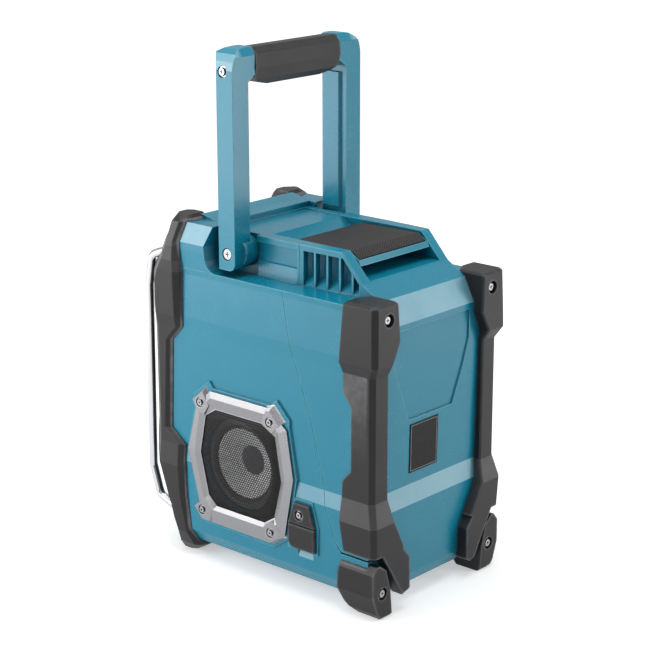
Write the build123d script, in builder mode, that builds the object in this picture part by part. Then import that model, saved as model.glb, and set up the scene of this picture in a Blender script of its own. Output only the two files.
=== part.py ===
"""Jobsite radio with side speakers, a fold-down carrying handle and a hinged battery door.

The origin lies on the ground, under the middle of the body. X runs across the radio,
Y from the control panel (-Y) to the battery door (+Y), Z up. All sizes are in millimetres.
"""

from build123d import *
import os

os.makedirs("parts", exist_ok=True)

# ------------------------------------------------------------------ overall sizes
SIDE_X = 76.0  # side walls
FRONT_Y = -112.0  # front wall
REAR_Y = 124.0  # widest part of the rear wall
BASE_Z = 14.5  # underside of the body
SHELF_Z = 250.0  # shelf that the folded handle lies over
SHOULDER_Z = 287.0  # tops of the front shoulders
RIDGE_Z = 290.5  # ridge across the front of the deck
DECK_Z = 282.6  # deck and rims
WALL = 3.0  # moulded wall
SEAM_GAP = 0.4  # gap between housing and door
RUN_FIT = 0.05  # radial clearance on a pin or shaft
SLIDE_GAP = 0.3  # clearance of a piece that moves past another

# body outline, seen from the side
SLOPE_Z = 226.0  # where the front wall starts to lean back
RIDGE_FRONT_Y = -83.0
RIDGE_REAR_Y = -72.0
STEP_Y = -53.5  # step down from the ridge to the deck
ARCH_Y = 76.0  # where the rims turn down
ARCH_FOOT = (96.5, 260.5)
CHAMFER_Y = 113.5
CHAMFER_Z = 231.0
BAND_Z = (82.0, 98.0)  # sloped band round the lower body
BAND_STEP = 2.5

# shoulders and central block
SHOULDER_Y = -44.0
SHOULDER_WAIST = (-50.6, 271.0)
SHOULDER_INNER_X = 51.3  # inner ends of the shoulders
RIM_X = 54.2  # half width over the rims
RIM_REAR_X = 52.2
CHEEK_X = 51.8  # side walls under the rims
POCKET_X = 43.0  # half width of the room for the lever
CORE_INSET = 11.0  # thick walls beside the central block
RECESS_X = 44.0  # shallow recess in the deck
RECESS_Y = (-49.5, -8.5)
RECESS_DEPTH = 1.2

# parting line between front housing and battery door, from the deck down
SEAM_Y = 34.0
SEAM = [
    (SEAM_Y, SHELF_Z),
    (43.0, 208.0),
    (51.6, 184.0),
    (63.8, 152.0),
    (77.5, 100.0),
    (79.7, 83.0),
    (89.9, 56.5),
]
SILL_Z = 50.0  # top of the sills that the door closes on
SILL_Y = 96.0
TAIL_X = 53.0  # half width of the door where it reaches down between the feet
TAIL_Y = 116.0

# battery door hinge
HINGE_Y = 118.0
HINGE_Z = 18.0
HINGE_R = 2.0
HINGE_LUG_R = 3.5
HINGE_LUG_X = 44.0

# bumpers and feet
BUMPER_X = 82.0
BUMPER_REAR_Y = 133.8
BUMPER_TOP_Z = 254.5
FRONT_BUMPER_X = 50.0  # inner edge on the front
BUMPER_SCREW = (63.9, 241.7)
FOOT_SCREW = (67.8, 22.0)
REAR_SEAT_Y = BUMPER_REAR_Y - 5.0  # seats of the rear screws

# guard bars
BAR_X = 62.0
BAR_R = 3.6
BAR_Y = -130.2
BAR_BEND_R = 9.0

# handle
ARM_X = (57.5, 75.4)
ARM_Y = (-42.0, -16.0)
HANDLE_TOP_Z = 430.4
GRIP_X = 49.6
GRIP_BOTTOM_Z = 409.0
PIVOT_Y = -24.5
PIVOT_Z = 268.7
PIVOT_R = 3.0
BOSS_R = 12.2  # round boss on the arm's foot
BOSS_X = (50.2, 66.0)
CORE_Z = 413.0
CORE_R = 4.5
ARM_COVER_X = 54.8
ARM_COVER_Z = (286.0, 398.0)
TOP_SCREW = (-26.8, 412.9)

# speakers, measured from their middle
SPEAKER_Y = -15.0
SPEAKER_Z = 94.0
PLINTH_X = 77.4  # raised surround that the bezel and the socket cover stand on
BEZEL_X = 80.2
GRILLE_T = 0.8
BEZEL_SCREW = (38.6, 46.8)
MAGNET_R = 27.0

# control panel
PANEL_X = 41.0
PANEL_Z = (112.0, 222.0)
WINDOW_X = 32.0
WINDOW_Z = (180.0, 214.0)
KEY_SIZE = (12.0, 8.0)
KEY_TRAVEL = 1.2
KEY_STAND = 1.6  # how far a key stands out of the panel
PRESET_Z = 166.0
PRESET_PITCH = 15.5
FUNCTION_KEYS = {"power": (-29.0, 146.0), "source": (-12.0, 146.0), "menu": (-29.0, 128.0)}
KNOB = (19.0, 137.0)
KNOB_R = 14.0
KNOB_LENGTH = 11.0
SHAFT_R = 3.0

# aerial
AERIAL_X = -45.7
AERIAL_Y = -117.2
AERIAL_Z = 221.0
AERIAL_R = 2.0
AERIAL_LENGTH = 138.0
AERIAL_PIN_R = 1.2

# lock lever and pad
LEVER_X = 42.0
LEVER_FRONT_Y = 14.8
LEVER_REAR_Y = 85.5
LEVER_PIN = (18.5, 272.5)
LEVER_PIN_R = 1.5
EAR_X = (36.5, 41.0)
PAD_X = 40.4
PAD_BEND_Y = 74.3

# comb in the door's cheeks
COMB_START_Y = 37.5
COMB_PITCH = 12.5
COMB_BLADE = 1.8
COMB_COUNT = 5
COMB_DEPTH_X = 46.6
COMB_TOP_Z = 278.0

# socket cover on the right side
PORT_Y = (45.0, 65.5)
PORT_Z = (44.5, 58.5)
COVER_Y = (42.5, 68.0)
COVER_TOP_Y = (48.2, 62.4)
COVER_LOW_Z = 41.8
CREASE_Z = 62.0
COVER_TOP_Z = 80.6
COVER_T = 3.2
COVER_SCREW = (54.9, 70.6)

# sockets behind the cover, as (y, z)
DC_SOCKET = (49.6, 48.8)
DC_R = 3.4
AUX_SOCKET = (60.6, 48.8)
AUX_R = 3.1
USB_Y = (48.6, 61.9)
USB_Z = (53.0, 58.0)

# inside
LINER_Y = 30.4
LINER_T = 2.8
BOARD_T = 1.6
PANEL_BACK_Y = FRONT_Y + 4.0
BOARD_Y = PANEL_BACK_Y + 3.8

# fasteners
HEAD_R = 3.3
FLANGE_R = 4.6
SHANK_R = 2.0
HEAD_H = 2.4
RECESS_R = 5.2
TRIM_SIZE = 0.82  # the trim screws are smaller
TRIM_RECESS_R = 4.3


# ------------------------------------------------------------------ shared shapes
def outline(plane, points, inset=0.0):
    """Face inside a closed outline, drawn in by inset (or let out where it is negative)."""
    with BuildSketch(plane) as face:
        with BuildLine():
            Polyline(*points, close=True)
        make_face()
        if inset:
            offset(amount=-inset, kind=Kind.INTERSECTION, mode=Mode.REPLACE)
    return face.sketch


def across(points, x0, x1, mode=Mode.ADD, inset=0.0):
    """Prism of a side outline (y, z) from x0 to x1."""
    extrude(outline(Plane.YZ.offset(x0), points, inset), amount=x1 - x0, mode=mode)


def along(points, y0, y1, mode=Mode.ADD, inset=0.0):
    """Prism of a front outline (x, z) from y0 to y1."""
    extrude(outline(Plane.XZ.offset(-y1), points, inset), amount=y1 - y0, mode=mode)


def upward(points, z0, z1, mode=Mode.ADD, inset=0.0):
    """Prism of a plan outline (x, y) from z0 to z1."""
    extrude(outline(Plane.XY.offset(z0), points, inset), amount=z1 - z0, mode=mode)


def block(x0, x1, y0, y1, z0, z1, mode=Mode.ADD):
    """Box between two corners."""
    with Locations(((x0 + x1) / 2, (y0 + y1) / 2, (z0 + z1) / 2)):
        Box(abs(x1 - x0), abs(y1 - y0), abs(z1 - z0), mode=mode)


def rod_x(y, z, radius, x0, x1, mode=Mode.ADD):
    """Cylinder along X."""
    with BuildSketch(Plane.YZ.offset(x0)) as disc:
        with Locations((y, z)):
            Circle(radius)
    extrude(disc.sketch, amount=x1 - x0, mode=mode)


def rod_y(x, z, radius, y0, y1, mode=Mode.ADD):
    """Cylinder along Y."""
    with BuildSketch(Plane.XZ.offset(-y1)) as disc:
        with Locations((x, z)):
            Circle(radius)
    extrude(disc.sketch, amount=y1 - y0, mode=mode)


def both_sides(half):
    """Closed outline from its right half, given from the bottom up."""
    return half + [(-x, z) for x, z in reversed(half)]


def screw(seat, length, size=1.0):
    """Flanged pan-head screw standing on a plane, its shank behind the plane."""
    with BuildSketch(seat) as flange:
        Circle(FLANGE_R * size)
    extrude(flange.sketch, amount=0.7)
    with BuildSketch(seat.offset(0.7)) as head:
        Circle(HEAD_R * size)
    extrude(head.sketch, amount=HEAD_H - 0.7, taper=14)
    with BuildSketch(seat) as shank:
        Circle(SHANK_R)
    extrude(shank.sketch, amount=-length)
    with BuildSketch(seat.offset(HEAD_H)) as cross:
        Rectangle(3.4 * size, 0.8)
        Rectangle(0.8, 3.4 * size)
    extrude(cross.sketch, amount=-1.2, mode=Mode.SUBTRACT)


def save(piece, name):
    """Label one piece and write it."""
    piece.label = name
    export_step(piece, f"parts/{name}.step")


def save_pair(piece, name):
    """Write a right-hand piece and its mirror image on the left."""
    save(piece, f"right_{name}")
    save(mirror(piece, about=Plane.YZ), f"left_{name}")


# ------------------------------------------------------------------ the closed body
SIDE_OUTLINE = [
    (FRONT_Y + 6, BASE_Z),
    (FRONT_Y, BASE_Z + 10),
    (FRONT_Y, SLOPE_Z),
    (RIDGE_FRONT_Y, RIDGE_Z),
    (RIDGE_REAR_Y, RIDGE_Z),
    (STEP_Y - 7.0, RIDGE_Z - 2.8),
    (STEP_Y, RIDGE_Z - 3.8),
    (STEP_Y + 2.0, DECK_Z),
    (ARCH_Y, DECK_Z),
    ARCH_FOOT,
    (CHAMFER_Y, SHELF_Z),
    (REAR_Y, CHAMFER_Z),
    (REAR_Y - BAND_STEP, BAND_Z[1]),
    (REAR_Y, BAND_Z[0]),
    (REAR_Y - 1.5, BASE_Z + 8),
    (REAR_Y - 4, BASE_Z),
]
SHOULDER_OUTLINE = [
    (FRONT_Y, SLOPE_Z - 10),
    (FRONT_Y, SLOPE_Z),
    (RIDGE_FRONT_Y - 1.5, SHOULDER_Z),
    (SHOULDER_Y, SHOULDER_Z),
    SHOULDER_WAIST,
    (-49.4, 259.0),
    (-47.4, 254.6),
    (-44.0, 251.4),
    (-40.0, SHELF_Z),
    (-40.0, SLOPE_Z - 10),
]
LOWER_CROSS = both_sides(
    [
        (SIDE_X - 5.5, BASE_Z),
        (SIDE_X, BASE_Z + 10),
        (SIDE_X + 0.6, BAND_Z[0] + 2),
        (SIDE_X - 0.8, BAND_Z[1] - 1.5),
        (SIDE_X, 197.0),
        (SIDE_X + 0.6, 209.0),
        (SIDE_X - 0.8, 245.0),
        (SIDE_X - 0.4, SHELF_Z),
    ]
)
SHOULDER_CROSS = both_sides(
    [(SIDE_X - 0.8, SHELF_Z - WALL), (SIDE_X, 264.7), (SIDE_X, 271.0), (SIDE_X - 4.5, SHOULDER_Z)]
)
BLOCK_PLAN = [
    (-RIM_X, SHOULDER_Y - 30),
    (RIM_X, SHOULDER_Y - 30),
    (RIM_X, SEAM_Y),
    (RIM_REAR_X, ARCH_FOOT[0]),
    (RIM_REAR_X, CHAMFER_Y),
    (-RIM_REAR_X, CHAMFER_Y),
    (-RIM_REAR_X, ARCH_FOOT[0]),
    (-RIM_X, SEAM_Y),
]


def lower_body(inset):
    """Body below the shelf."""
    with BuildPart() as lower:
        along(LOWER_CROSS, FRONT_Y - 10, REAR_Y + 10, inset=inset)
        across(SIDE_OUTLINE, -SIDE_X - 10, SIDE_X + 10, Mode.INTERSECT, inset)
    return lower.part


def shoulders(inset):
    """Full-width front of the body above the shelf."""
    with BuildPart() as front:
        along(SHOULDER_CROSS, FRONT_Y - 10, SHOULDER_Y + 20, inset=inset)
        across(SHOULDER_OUTLINE, -SIDE_X - 10, SIDE_X + 10, Mode.INTERSECT, inset)
    return front.part


def central_block(inset, side_inset):
    """Block between the folded arms, from the ridge to the foot of the arch."""
    with BuildPart() as centre:
        upward(BLOCK_PLAN, SHELF_Z - 2 * WALL - 4, RIDGE_Z + 5, inset=side_inset)
        across(SIDE_OUTLINE, -SIDE_X, SIDE_X, Mode.INTERSECT, inset)
    return centre.part


def deck_well(grow, mode):
    """Low part of the deck between the shoulders, let out by grow, and the shallow recess in it."""
    half = SHOULDER_INNER_X + grow
    block(-half, half, STEP_Y + 2 - grow, SHOULDER_Y + 6 + grow, DECK_Z - grow, RIDGE_Z + 5, mode)
    half = RECESS_X + grow
    floor = DECK_Z - RECESS_DEPTH - grow
    block(-half, half, RECESS_Y[0] - grow, RECESS_Y[1] + grow, floor, RIDGE_Z + 5, mode)


with BuildPart() as body:
    add(lower_body(0))
    add(shoulders(0))
    add(central_block(0, 0))
    deck_well(0, Mode.SUBTRACT)

with BuildPart() as corner_cut:
    for side in (1, -1):
        upper = [(side * 78.0, -98.0), (side * 60.0, -114.0), (side * 78.0, -114.0)]
        lower = [(side * 78.0, -71.0), (side * 43.0, -114.0), (side * 78.0, -114.0)]
        top = outline(Plane.XY.offset(BAND_Z[0] - 4), upper)
        add(extrude(top, amount=SHELF_Z - BAND_Z[0]))
        loft([outline(Plane.XY.offset(BASE_Z - 1), lower), top], ruled=True)

with BuildPart() as envelope:
    add(body.part)
    add(corner_cut.part, mode=Mode.SUBTRACT)

with BuildPart() as room:
    add(lower_body(WALL))
    add(shoulders(WALL))
    add(central_block(WALL, CORE_INSET))
    deck_well(WALL, Mode.SUBTRACT)
    with BuildPart(mode=Mode.PRIVATE) as corner_skin:
        add(offset(corner_cut.part, amount=WALL, kind=Kind.INTERSECTION))
    add(corner_skin.part, mode=Mode.SUBTRACT)


def door_zone(gap, sill_gap, tail_gap):
    """Space of the battery door, let out by gap, over the sills by sill_gap, before its tail by tail_gap."""
    sill = SILL_Z - sill_gap
    rear = REAR_Y + 20
    top = RIDGE_Z + 10
    points = [(SEAM_Y, top)] + SEAM + [(SILL_Y, sill), (rear, sill), (rear, top)]
    with BuildPart() as zone:
        across(points, -SIDE_X - 10, SIDE_X + 10, inset=-gap)
        block(-TAIL_X - gap, TAIL_X + gap, TAIL_Y - tail_gap, REAR_Y + 20, 0, SILL_Z + 5)
    return zone.part


def boss(x0, x1, y0, y1, z0, z1):
    """Thick spot in a wall, kept inside the outer faces."""
    with BuildPart(mode=Mode.PRIVATE) as thick:
        block(x0, x1, y0, y1, z0, z1)
        add(envelope.part, mode=Mode.INTERSECT)
    add(thick.part)


# ------------------------------------------------------------------ bumpers, feet and guard bars
def stack(sections):
    """Ruled solid through plan outlines at rising heights."""
    for (z0, low), (z1, high) in zip(sections, sections[1:]):
        loft([outline(Plane.XY.offset(z0), low), outline(Plane.XY.offset(z1), high)], ruled=True)


def rear_plan(outer, rear, front, inner, cut=3.4):
    """Plan of a rear corner bumper: side face, bevelled corner, rear face."""
    return [
        (inner, 108.0),
        (inner, rear - 1.2),
        (inner + 1.2, rear),
        (outer - cut - 0.9, rear),
        (outer, rear - cut),
        (outer, front + 1.2),
        (outer - 1.2, front),
        (64.0, front),
    ]


REAR_SECTIONS = [
    (53.4, rear_plan(80.2, 132.4, 100.5, 42.0)),
    (78.4, rear_plan(81.6, 133.2, 97.2, 55.3)),
    (97.0, rear_plan(77.9, 128.2, 96.8, 58.0)),
    (110.4, rear_plan(77.9, 128.2, 97.6, 58.3)),
    (119.5, rear_plan(77.9, 128.2, 106.0, 58.3)),
    (171.8, rear_plan(77.9, 128.2, 106.0, 58.3)),
    (182.0, rear_plan(77.9, 128.2, 98.0, 58.3)),
    (197.5, rear_plan(77.9, 128.2, 98.0, 58.3)),
    (207.0, rear_plan(BUMPER_X, BUMPER_REAR_Y, 97.2, 59.0)),
    (223.4, rear_plan(BUMPER_X - 0.4, BUMPER_REAR_Y - 0.3, 98.4, 50.6)),
    (252.6, rear_plan(BUMPER_X - 1.4, BUMPER_REAR_Y - 1.1, 100.3, 52.4)),
    (BUMPER_TOP_Z, rear_plan(BUMPER_X - 3.4, BUMPER_REAR_Y - 3.0, 102.3, 54.4)),
]
FLARE = [(36.6, 44.0), (36.6, 18.0), (44.0, 13.4), (51.4, 24.6), (71.4, 57.0), (52.0, 62.0)]
FLARE_SIDE = [
    (116, 70),
    (116, 40),
    (120.6, 30),
    (120.6, 10),
    (129, 10),
    (133, 17),
    (132.4, 60),
    (131, 70),
]

with BuildPart() as rear_screw_well:
    rod_y(*BUMPER_SCREW, RECESS_R, BUMPER_REAR_Y - 5, BUMPER_REAR_Y + 5)
    rod_y(*BUMPER_SCREW, SHANK_R, 80, BUMPER_REAR_Y)

with BuildPart() as door_bumper:
    stack(REAR_SECTIONS)
    with BuildPart(mode=Mode.PRIVATE) as flare:
        along(FLARE, 116, BUMPER_REAR_Y)
        across(FLARE_SIDE, 0, 90, Mode.INTERSECT)
        rod_x(HINGE_Y, HINGE_Z, HINGE_LUG_R + 2 * SLIDE_GAP, 30, HINGE_LUG_X + SLIDE_GAP, Mode.SUBTRACT)
    add(flare.part)
    add(envelope.part, mode=Mode.SUBTRACT)
    add(rear_screw_well.part, mode=Mode.SUBTRACT)


def front_plan(face, outer, front, rear, back=-66.0, inner=FRONT_BUMPER_X):
    """Plan of a front corner bumper: face across the front, slanted corner, side face."""
    return [
        (inner, back),
        (inner, face + 5),
        (inner + 3.5, face),
        (inner + 12.5, face),
        (outer, front),
        (outer, rear),
        (outer - 3.6, rear + 5),
        (outer - 14, rear + 9),
    ]


FRONT_SECTIONS = [
    (0.0, [(50, -79), (50, -91), (53, -95), (60, -95), (65.5, -90), (65.5, -82), (62, -78), (56, -77)]),
    (9.0, [(48, -66), (48, -96), (53, -101), (61, -101), (74, -86), (74, -70), (70, -65), (58, -62)]),
    (21.0, front_plan(-106, 79, -84, -74)),
    (52.0, front_plan(-115, 81.2, -93, -79)),
    (79.0, front_plan(-123, BUMPER_X, -101.5, -80)),
    (98.0, front_plan(-122, 80.6, -100.5, -80)),
    (110.0, front_plan(-121, 80, -100.5, -96)),
    (187.0, front_plan(-121, 80, -100.5, -92)),
    (200.0, front_plan(-122, 80.6, -100.5, -80)),
    (209.0, front_plan(-123, BUMPER_X, -101.5, -80)),
    (237.0, front_plan(-123, BUMPER_X, -101.5, -81)),
    (246.0, front_plan(-119.5, BUMPER_X, -98.5, -81)),
    (255.0, front_plan(-113.5, BUMPER_X - 0.4, -94, -82)),
    (267.0, front_plan(-107.5, BUMPER_X - 1.5, -90, -82)),
    (271.0, front_plan(-105, BUMPER_X - 2, -89, -82)),
    (287.0, front_plan(-95.5, 75.8, -86, -78, -68)),
    (291.6, front_plan(-91, 70, -85, -82, -74)),
]
FRONT_SIDE = [
    (-124, -1),
    (-124, 236),
    (-119.5, 246),
    (-107.5, 267),
    (-93.5, 289.4),
    (-91, 291.6),
    (-76, 291.6),
    (-73, 289),
    (-66, 285),
    (-50, 284),
    (-50, -1),
]

BAR_POINTS = [
    (BAR_X, -101.5, 258.5),
    (BAR_X, -124.5, 250),
    (BAR_X, -129, 224),
    (BAR_X, BAR_Y, 64),
    (BAR_X, -122, 38),
    (BAR_X, -102.5, 31),
]
with BuildPart() as guard_bar:
    with BuildLine() as bar_path:
        FilletPolyline(*BAR_POINTS, radius=BAR_BEND_R)
    with BuildSketch(Plane(origin=bar_path.line @ 0, z_dir=bar_path.line % 0)) as bar_round:
        Circle(BAR_R)
    sweep()
save_pair(guard_bar.part, "guard_bar")

with BuildPart() as front_bumper:
    stack(FRONT_SECTIONS)
    across(FRONT_SIDE, 0, 90, Mode.INTERSECT)
    add(envelope.part, mode=Mode.SUBTRACT)
    add(guard_bar.part, mode=Mode.SUBTRACT)
save_pair(front_bumper.part, "front_bumper")
save_pair(door_bumper.part, "door_bumper")

FOOT_SIDE = [
    (96.5, 44),
    (100, 46),
    (131.4, 46),
    (131.4, 2.5),
    (129, 0),
    (107, 0),
    (98, 10),
    (94, 21),
    (94.5, 34),
]
FOOT_REAR = [
    (56.3, 0),
    (68.6, 0),
    (74, 5.5),
    (79.4, 21),
    (79.4, 40),
    (74.6, 46),
    (71.0, 46),
    (63.6, 40.4),
    (58.4, 21.4),
]
with BuildPart() as rear_foot:
    along(FOOT_REAR, 90, 132)
    across(FOOT_SIDE, 0, 90, Mode.INTERSECT)
    add(envelope.part, mode=Mode.SUBTRACT)
    rod_y(*FOOT_SCREW, RECESS_R, REAR_SEAT_Y - 0.4, 140, Mode.SUBTRACT)
    rod_y(*FOOT_SCREW, SHANK_R, 80, 140, Mode.SUBTRACT)
save_pair(rear_foot.part, "rear_foot")

# ------------------------------------------------------------------ shell, cut into housing and door
POCKET_FLOOR_Z = 261.5
POCKET_SIDE = [
    (RECESS_Y[1], DECK_Z + 9),
    (RECESS_Y[1], DECK_Z - RECESS_DEPTH),
    (11.0, 270.0),
    (11.0, POCKET_FLOOR_Z),
    (110.0, POCKET_FLOOR_Z),
    (110.0, DECK_Z + 9),
]

with BuildPart() as shell:
    add(envelope.part)
    add(room.part, mode=Mode.SUBTRACT)
    with BuildPart(mode=Mode.PRIVATE) as pocket_floor:
        block(-POCKET_X - WALL, POCKET_X + WALL, -14, 110, POCKET_FLOOR_Z - WALL, DECK_Z)
        add(envelope.part, mode=Mode.INTERSECT)
    add(pocket_floor.part)
    across(POCKET_SIDE, -POCKET_X, POCKET_X, Mode.SUBTRACT)
    for side in (1, -1):
        cheek = side * CHEEK_X
        block(cheek, side * 60, SHOULDER_Y + 6, SEAM_Y - 3, SHELF_Z, COMB_TOP_Z - 0.5, Mode.SUBTRACT)
        step = [(cheek, SHELF_Z - 1), (side * 54.6, SHELF_Z - 1), (side * 53.4, 262), (cheek, 263)]
        along(step, -10.8, SEAM_Y - 3)
        notch_r = BOSS_R + 0.7
        notch_x = side * (BOSS_X[0] - 0.4)
        rod_x(PIVOT_Y, PIVOT_Z, notch_r, notch_x, side * 60, Mode.SUBTRACT)
        block(notch_x, side * 60, PIVOT_Y - notch_r, PIVOT_Y + notch_r, PIVOT_Z, RIDGE_Z, Mode.SUBTRACT)
        rod_x(PIVOT_Y, PIVOT_Z, PIVOT_R + RUN_FIT, side * 40, side * 60, Mode.SUBTRACT)

with BuildPart() as comb_pockets:
    for side in (1, -1):
        for n in range(COMB_COUNT):
            y0 = COMB_START_Y + n * COMB_PITCH
            y1 = y0 + COMB_PITCH - COMB_BLADE
            back = side * COMB_DEPTH_X
            plan = [
                (side * 60, y0),
                (side * 60, y1),
                (back + side * 2.4, y1),
                (back, y1 - 2.4),
                (back, y0 + 2.4),
                (back + side * 2.4, y0),
            ]
            with BuildPart(mode=Mode.PRIVATE) as slot:
                upward(plan, SHELF_Z + 0.2, COMB_TOP_Z)
                low = SHELF_Z - 5
                ramp = [(back, low), (side * 61, low), (back + side * 7, SHELF_Z), (back, 258.5)]
                along(ramp, y0 - 1, y1 + 1, Mode.SUBTRACT)
                across([(0, 240), (0, 278), (77, 278), (93, 260), (93, 240)], -70, 70, Mode.INTERSECT)
            add(slot.part)

# outer edge of the bezel and edge of the mesh, as (y, z)
BEZEL_EDGE = [
    (-49.5, 38.0),
    (24.3, 37.0),
    (38.0, 46.5),
    (41.6, 56.0),
    (47.8, 98.0),
    (40.4, 139.4),
    (40.6, 144.8),
    (29.0, 156.6),
    (23.4, 152.2),
    (-42.6, 152.2),
    (-46.0, 156.6),
    (-60.6, 145.0),
    (-59.6, 136.6),
    (-69.4, 97.0),
    (-57.0, 53.4),
    (-60.0, 46.4),
]
MESH_EDGE = [
    (-38.8, 53.3),
    (15.2, 53.3),
    (26.2, 60.3),
    (34.2, 92.3),
    (27.8, 129.2),
    (13.4, 137.0),
    (-38.2, 137.0),
    (-49.8, 129.7),
    (-56.3, 97.0),
    (-47.5, 61.0),
]
# bars of the bezel: their outer edge, and the crest along them
BAR_EDGE = [
    (-47.0, 38.6),
    (22.0, 38.0),
    (38.4, 48.0),
    (47.8, 98.0),
    (41.0, 137.5),
    (22.0, 152.2),
    (-43.0, 152.2),
    (-59.0, 137.0),
    (-69.4, 97.0),
    (-57.5, 53.0),
]
CREST = [
    (-41.0, 49.8),
    (17.5, 49.8),
    (31.0, 56.0),
    (40.3, 96.0),
    (33.5, 134.5),
    (19.0, 146.8),
    (-42.0, 146.8),
    (-54.5, 134.0),
    (-61.5, 96.0),
    (-52.0, 57.5),
]
# raised tabs round the bezel's screws: foot and top of each
TABS = [
    (
        [(18.8, 153.4), (27.6, 156.4), (39.4, 144.4), (28.4, 130.6), (13.6, 138.6)],
        [(19.8, 149.8), (23.4, 150.6), (33.3, 139.8), (25.8, 132.4), (14.6, 138.4)],
    ),
    (
        [(-64.4, 141.4), (-48.0, 155.8), (-41.5, 141.0), (-49.6, 130.2), (-60.0, 132.6)],
        [(-62.0, 141.8), (-51.0, 150.8), (-44.0, 140.0), (-49.6, 131.4), (-57.8, 134.4)],
    ),
    (
        [(-63.6, 47.6), (-50.6, 60.2), (-41.5, 50.6), (-43.8, 37.8), (-54.6, 37.6)],
        [(-62.2, 48.4), (-50.5, 58.2), (-43.5, 50.0), (-44.6, 39.4), (-53.8, 39.0)],
    ),
    (
        [(14.5, 50.8), (26.6, 59.6), (38.4, 52.4), (39.2, 46.4), (24.2, 36.8), (16.0, 38.6)],
        [(16.0, 50.5), (25.0, 58.0), (33.0, 50.4), (32.4, 44.6), (24.2, 39.6), (17.4, 42.2)],
    ),
]
PORT_EDGE = [
    (COVER_Y[0], COVER_LOW_Z),
    (COVER_Y[1] + 2.6, COVER_LOW_Z),
    (COVER_Y[1] + 3.2, CREASE_Z),
    (COVER_TOP_Y[1] + 3.2, COVER_TOP_Z + 0.8),
    (COVER_TOP_Y[0] + 0.8, COVER_TOP_Z + 0.8),
    (COVER_Y[0] + 0.8, CREASE_Z),
]

with BuildPart() as plinth:
    for side in (1, -1):
        foot = side * (SIDE_X - 2)
        top = side * PLINTH_X
        across(BEZEL_EDGE, foot, top, inset=-2.4)
    across(PORT_EDGE, SIDE_X - 2, PLINTH_X, inset=-2.0)
    add(front_bumper.part, mode=Mode.SUBTRACT)
    add(mirror(front_bumper.part, about=Plane.YZ), mode=Mode.SUBTRACT)
    add(corner_cut.part, mode=Mode.SUBTRACT)
    block(-SIDE_X - 5, SIDE_X + 5, -90, -72.6, 0, 200, Mode.SUBTRACT)

GRILLE_X = PLINTH_X - GRILLE_T
with BuildPart() as front_housing:
    add(shell.part)
    for side in (1, -1):
        rod_x(SPEAKER_Y, SPEAKER_Z, 45.0, side * 70.0, side * 75.0)
    add(door_zone(SEAM_GAP, 1.2, 3.6), mode=Mode.SUBTRACT)
    add(plinth.part)
    for side in (1, -1):
        across(MESH_EDGE, side * GRILLE_X, side * (PLINTH_X + 1), Mode.SUBTRACT, -3.0)
        rod_x(SPEAKER_Y, SPEAKER_Z, 39.5, side * 60, side * 80, Mode.SUBTRACT)
        for dy in (-1, 1):
            for dz in (-1, 1):
                y = SPEAKER_Y + dy * BEZEL_SCREW[0]
                z = SPEAKER_Z + dz * BEZEL_SCREW[1]
                rod_x(y, z, SHANK_R, side * 65, side * 80, Mode.SUBTRACT)
    rod_x(*COVER_SCREW, SHANK_R, 65, 80, Mode.SUBTRACT)
    block(PLINTH_X - 2.4, 80, *PORT_Y, *PORT_Z, Mode.SUBTRACT)
    block(71.0, 76.0, PORT_Y[0] - 2, PORT_Y[1] + 2, PORT_Z[0] - 2, PORT_Z[1] + 2, Mode.ADD)
    block(PLINTH_X - 2.4, 80, *PORT_Y, *PORT_Z, Mode.SUBTRACT)
    block(-PANEL_X + 3, PANEL_X - 3, -120, -100, PANEL_Z[0] + 3, PANEL_Z[1] - 3, Mode.SUBTRACT)
    rod_x(*DC_SOCKET, DC_R, 60, 80, Mode.SUBTRACT)
    rod_x(*AUX_SOCKET, AUX_R, 60, 80, Mode.SUBTRACT)
    block(60, 80, *USB_Y, *USB_Z, Mode.SUBTRACT)
    scoop = [(74.2, COVER_LOW_Z), (80, COVER_LOW_Z), (80, 33.0), (SIDE_X + 0.4, 33.0)]
    along(scoop, 50.5, 66.5, Mode.SUBTRACT)
    for side in (1, -1):
        boss(side * 56, side * 73, 112, 119, 16, 30)
        rod_y(side * FOOT_SCREW[0], FOOT_SCREW[1], SHANK_R, 105, 140, Mode.SUBTRACT)
        with BuildPart(mode=Mode.PRIVATE) as lug:
            block(side * 38, side * HINGE_LUG_X, 104, HINGE_Y, BASE_Z, HINGE_Z + 3.4)
            rod_x(HINGE_Y, HINGE_Z, HINGE_LUG_R, side * 38, side * HINGE_LUG_X)
            add(envelope.part, mode=Mode.INTERSECT)
        add(lug.part)
        rod_x(HINGE_Y, HINGE_Z, HINGE_R + RUN_FIT, side * 30, side * 50, Mode.SUBTRACT)

save(front_housing.part, "front_housing")


def rear_y(z, lift=0.0):
    """Rear face at a height, moved out by lift."""
    return REAR_Y - BAND_STEP + (z - BAND_Z[1]) * BAND_STEP / (CHAMFER_Z - BAND_Z[1]) + lift


# shallow panel pressed into the rear face, and the plate below it
RELIEF = [(-27, 152), (27, 152), (40, 183), (46, 202), (46, 226), (-46, 226), (-46, 202), (-40, 183)]
RELIEF_DEPTH = 1.4
PLATE_X = (-9.0, 25.5)
PLATE_Z = (107.4, 147.6)

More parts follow.
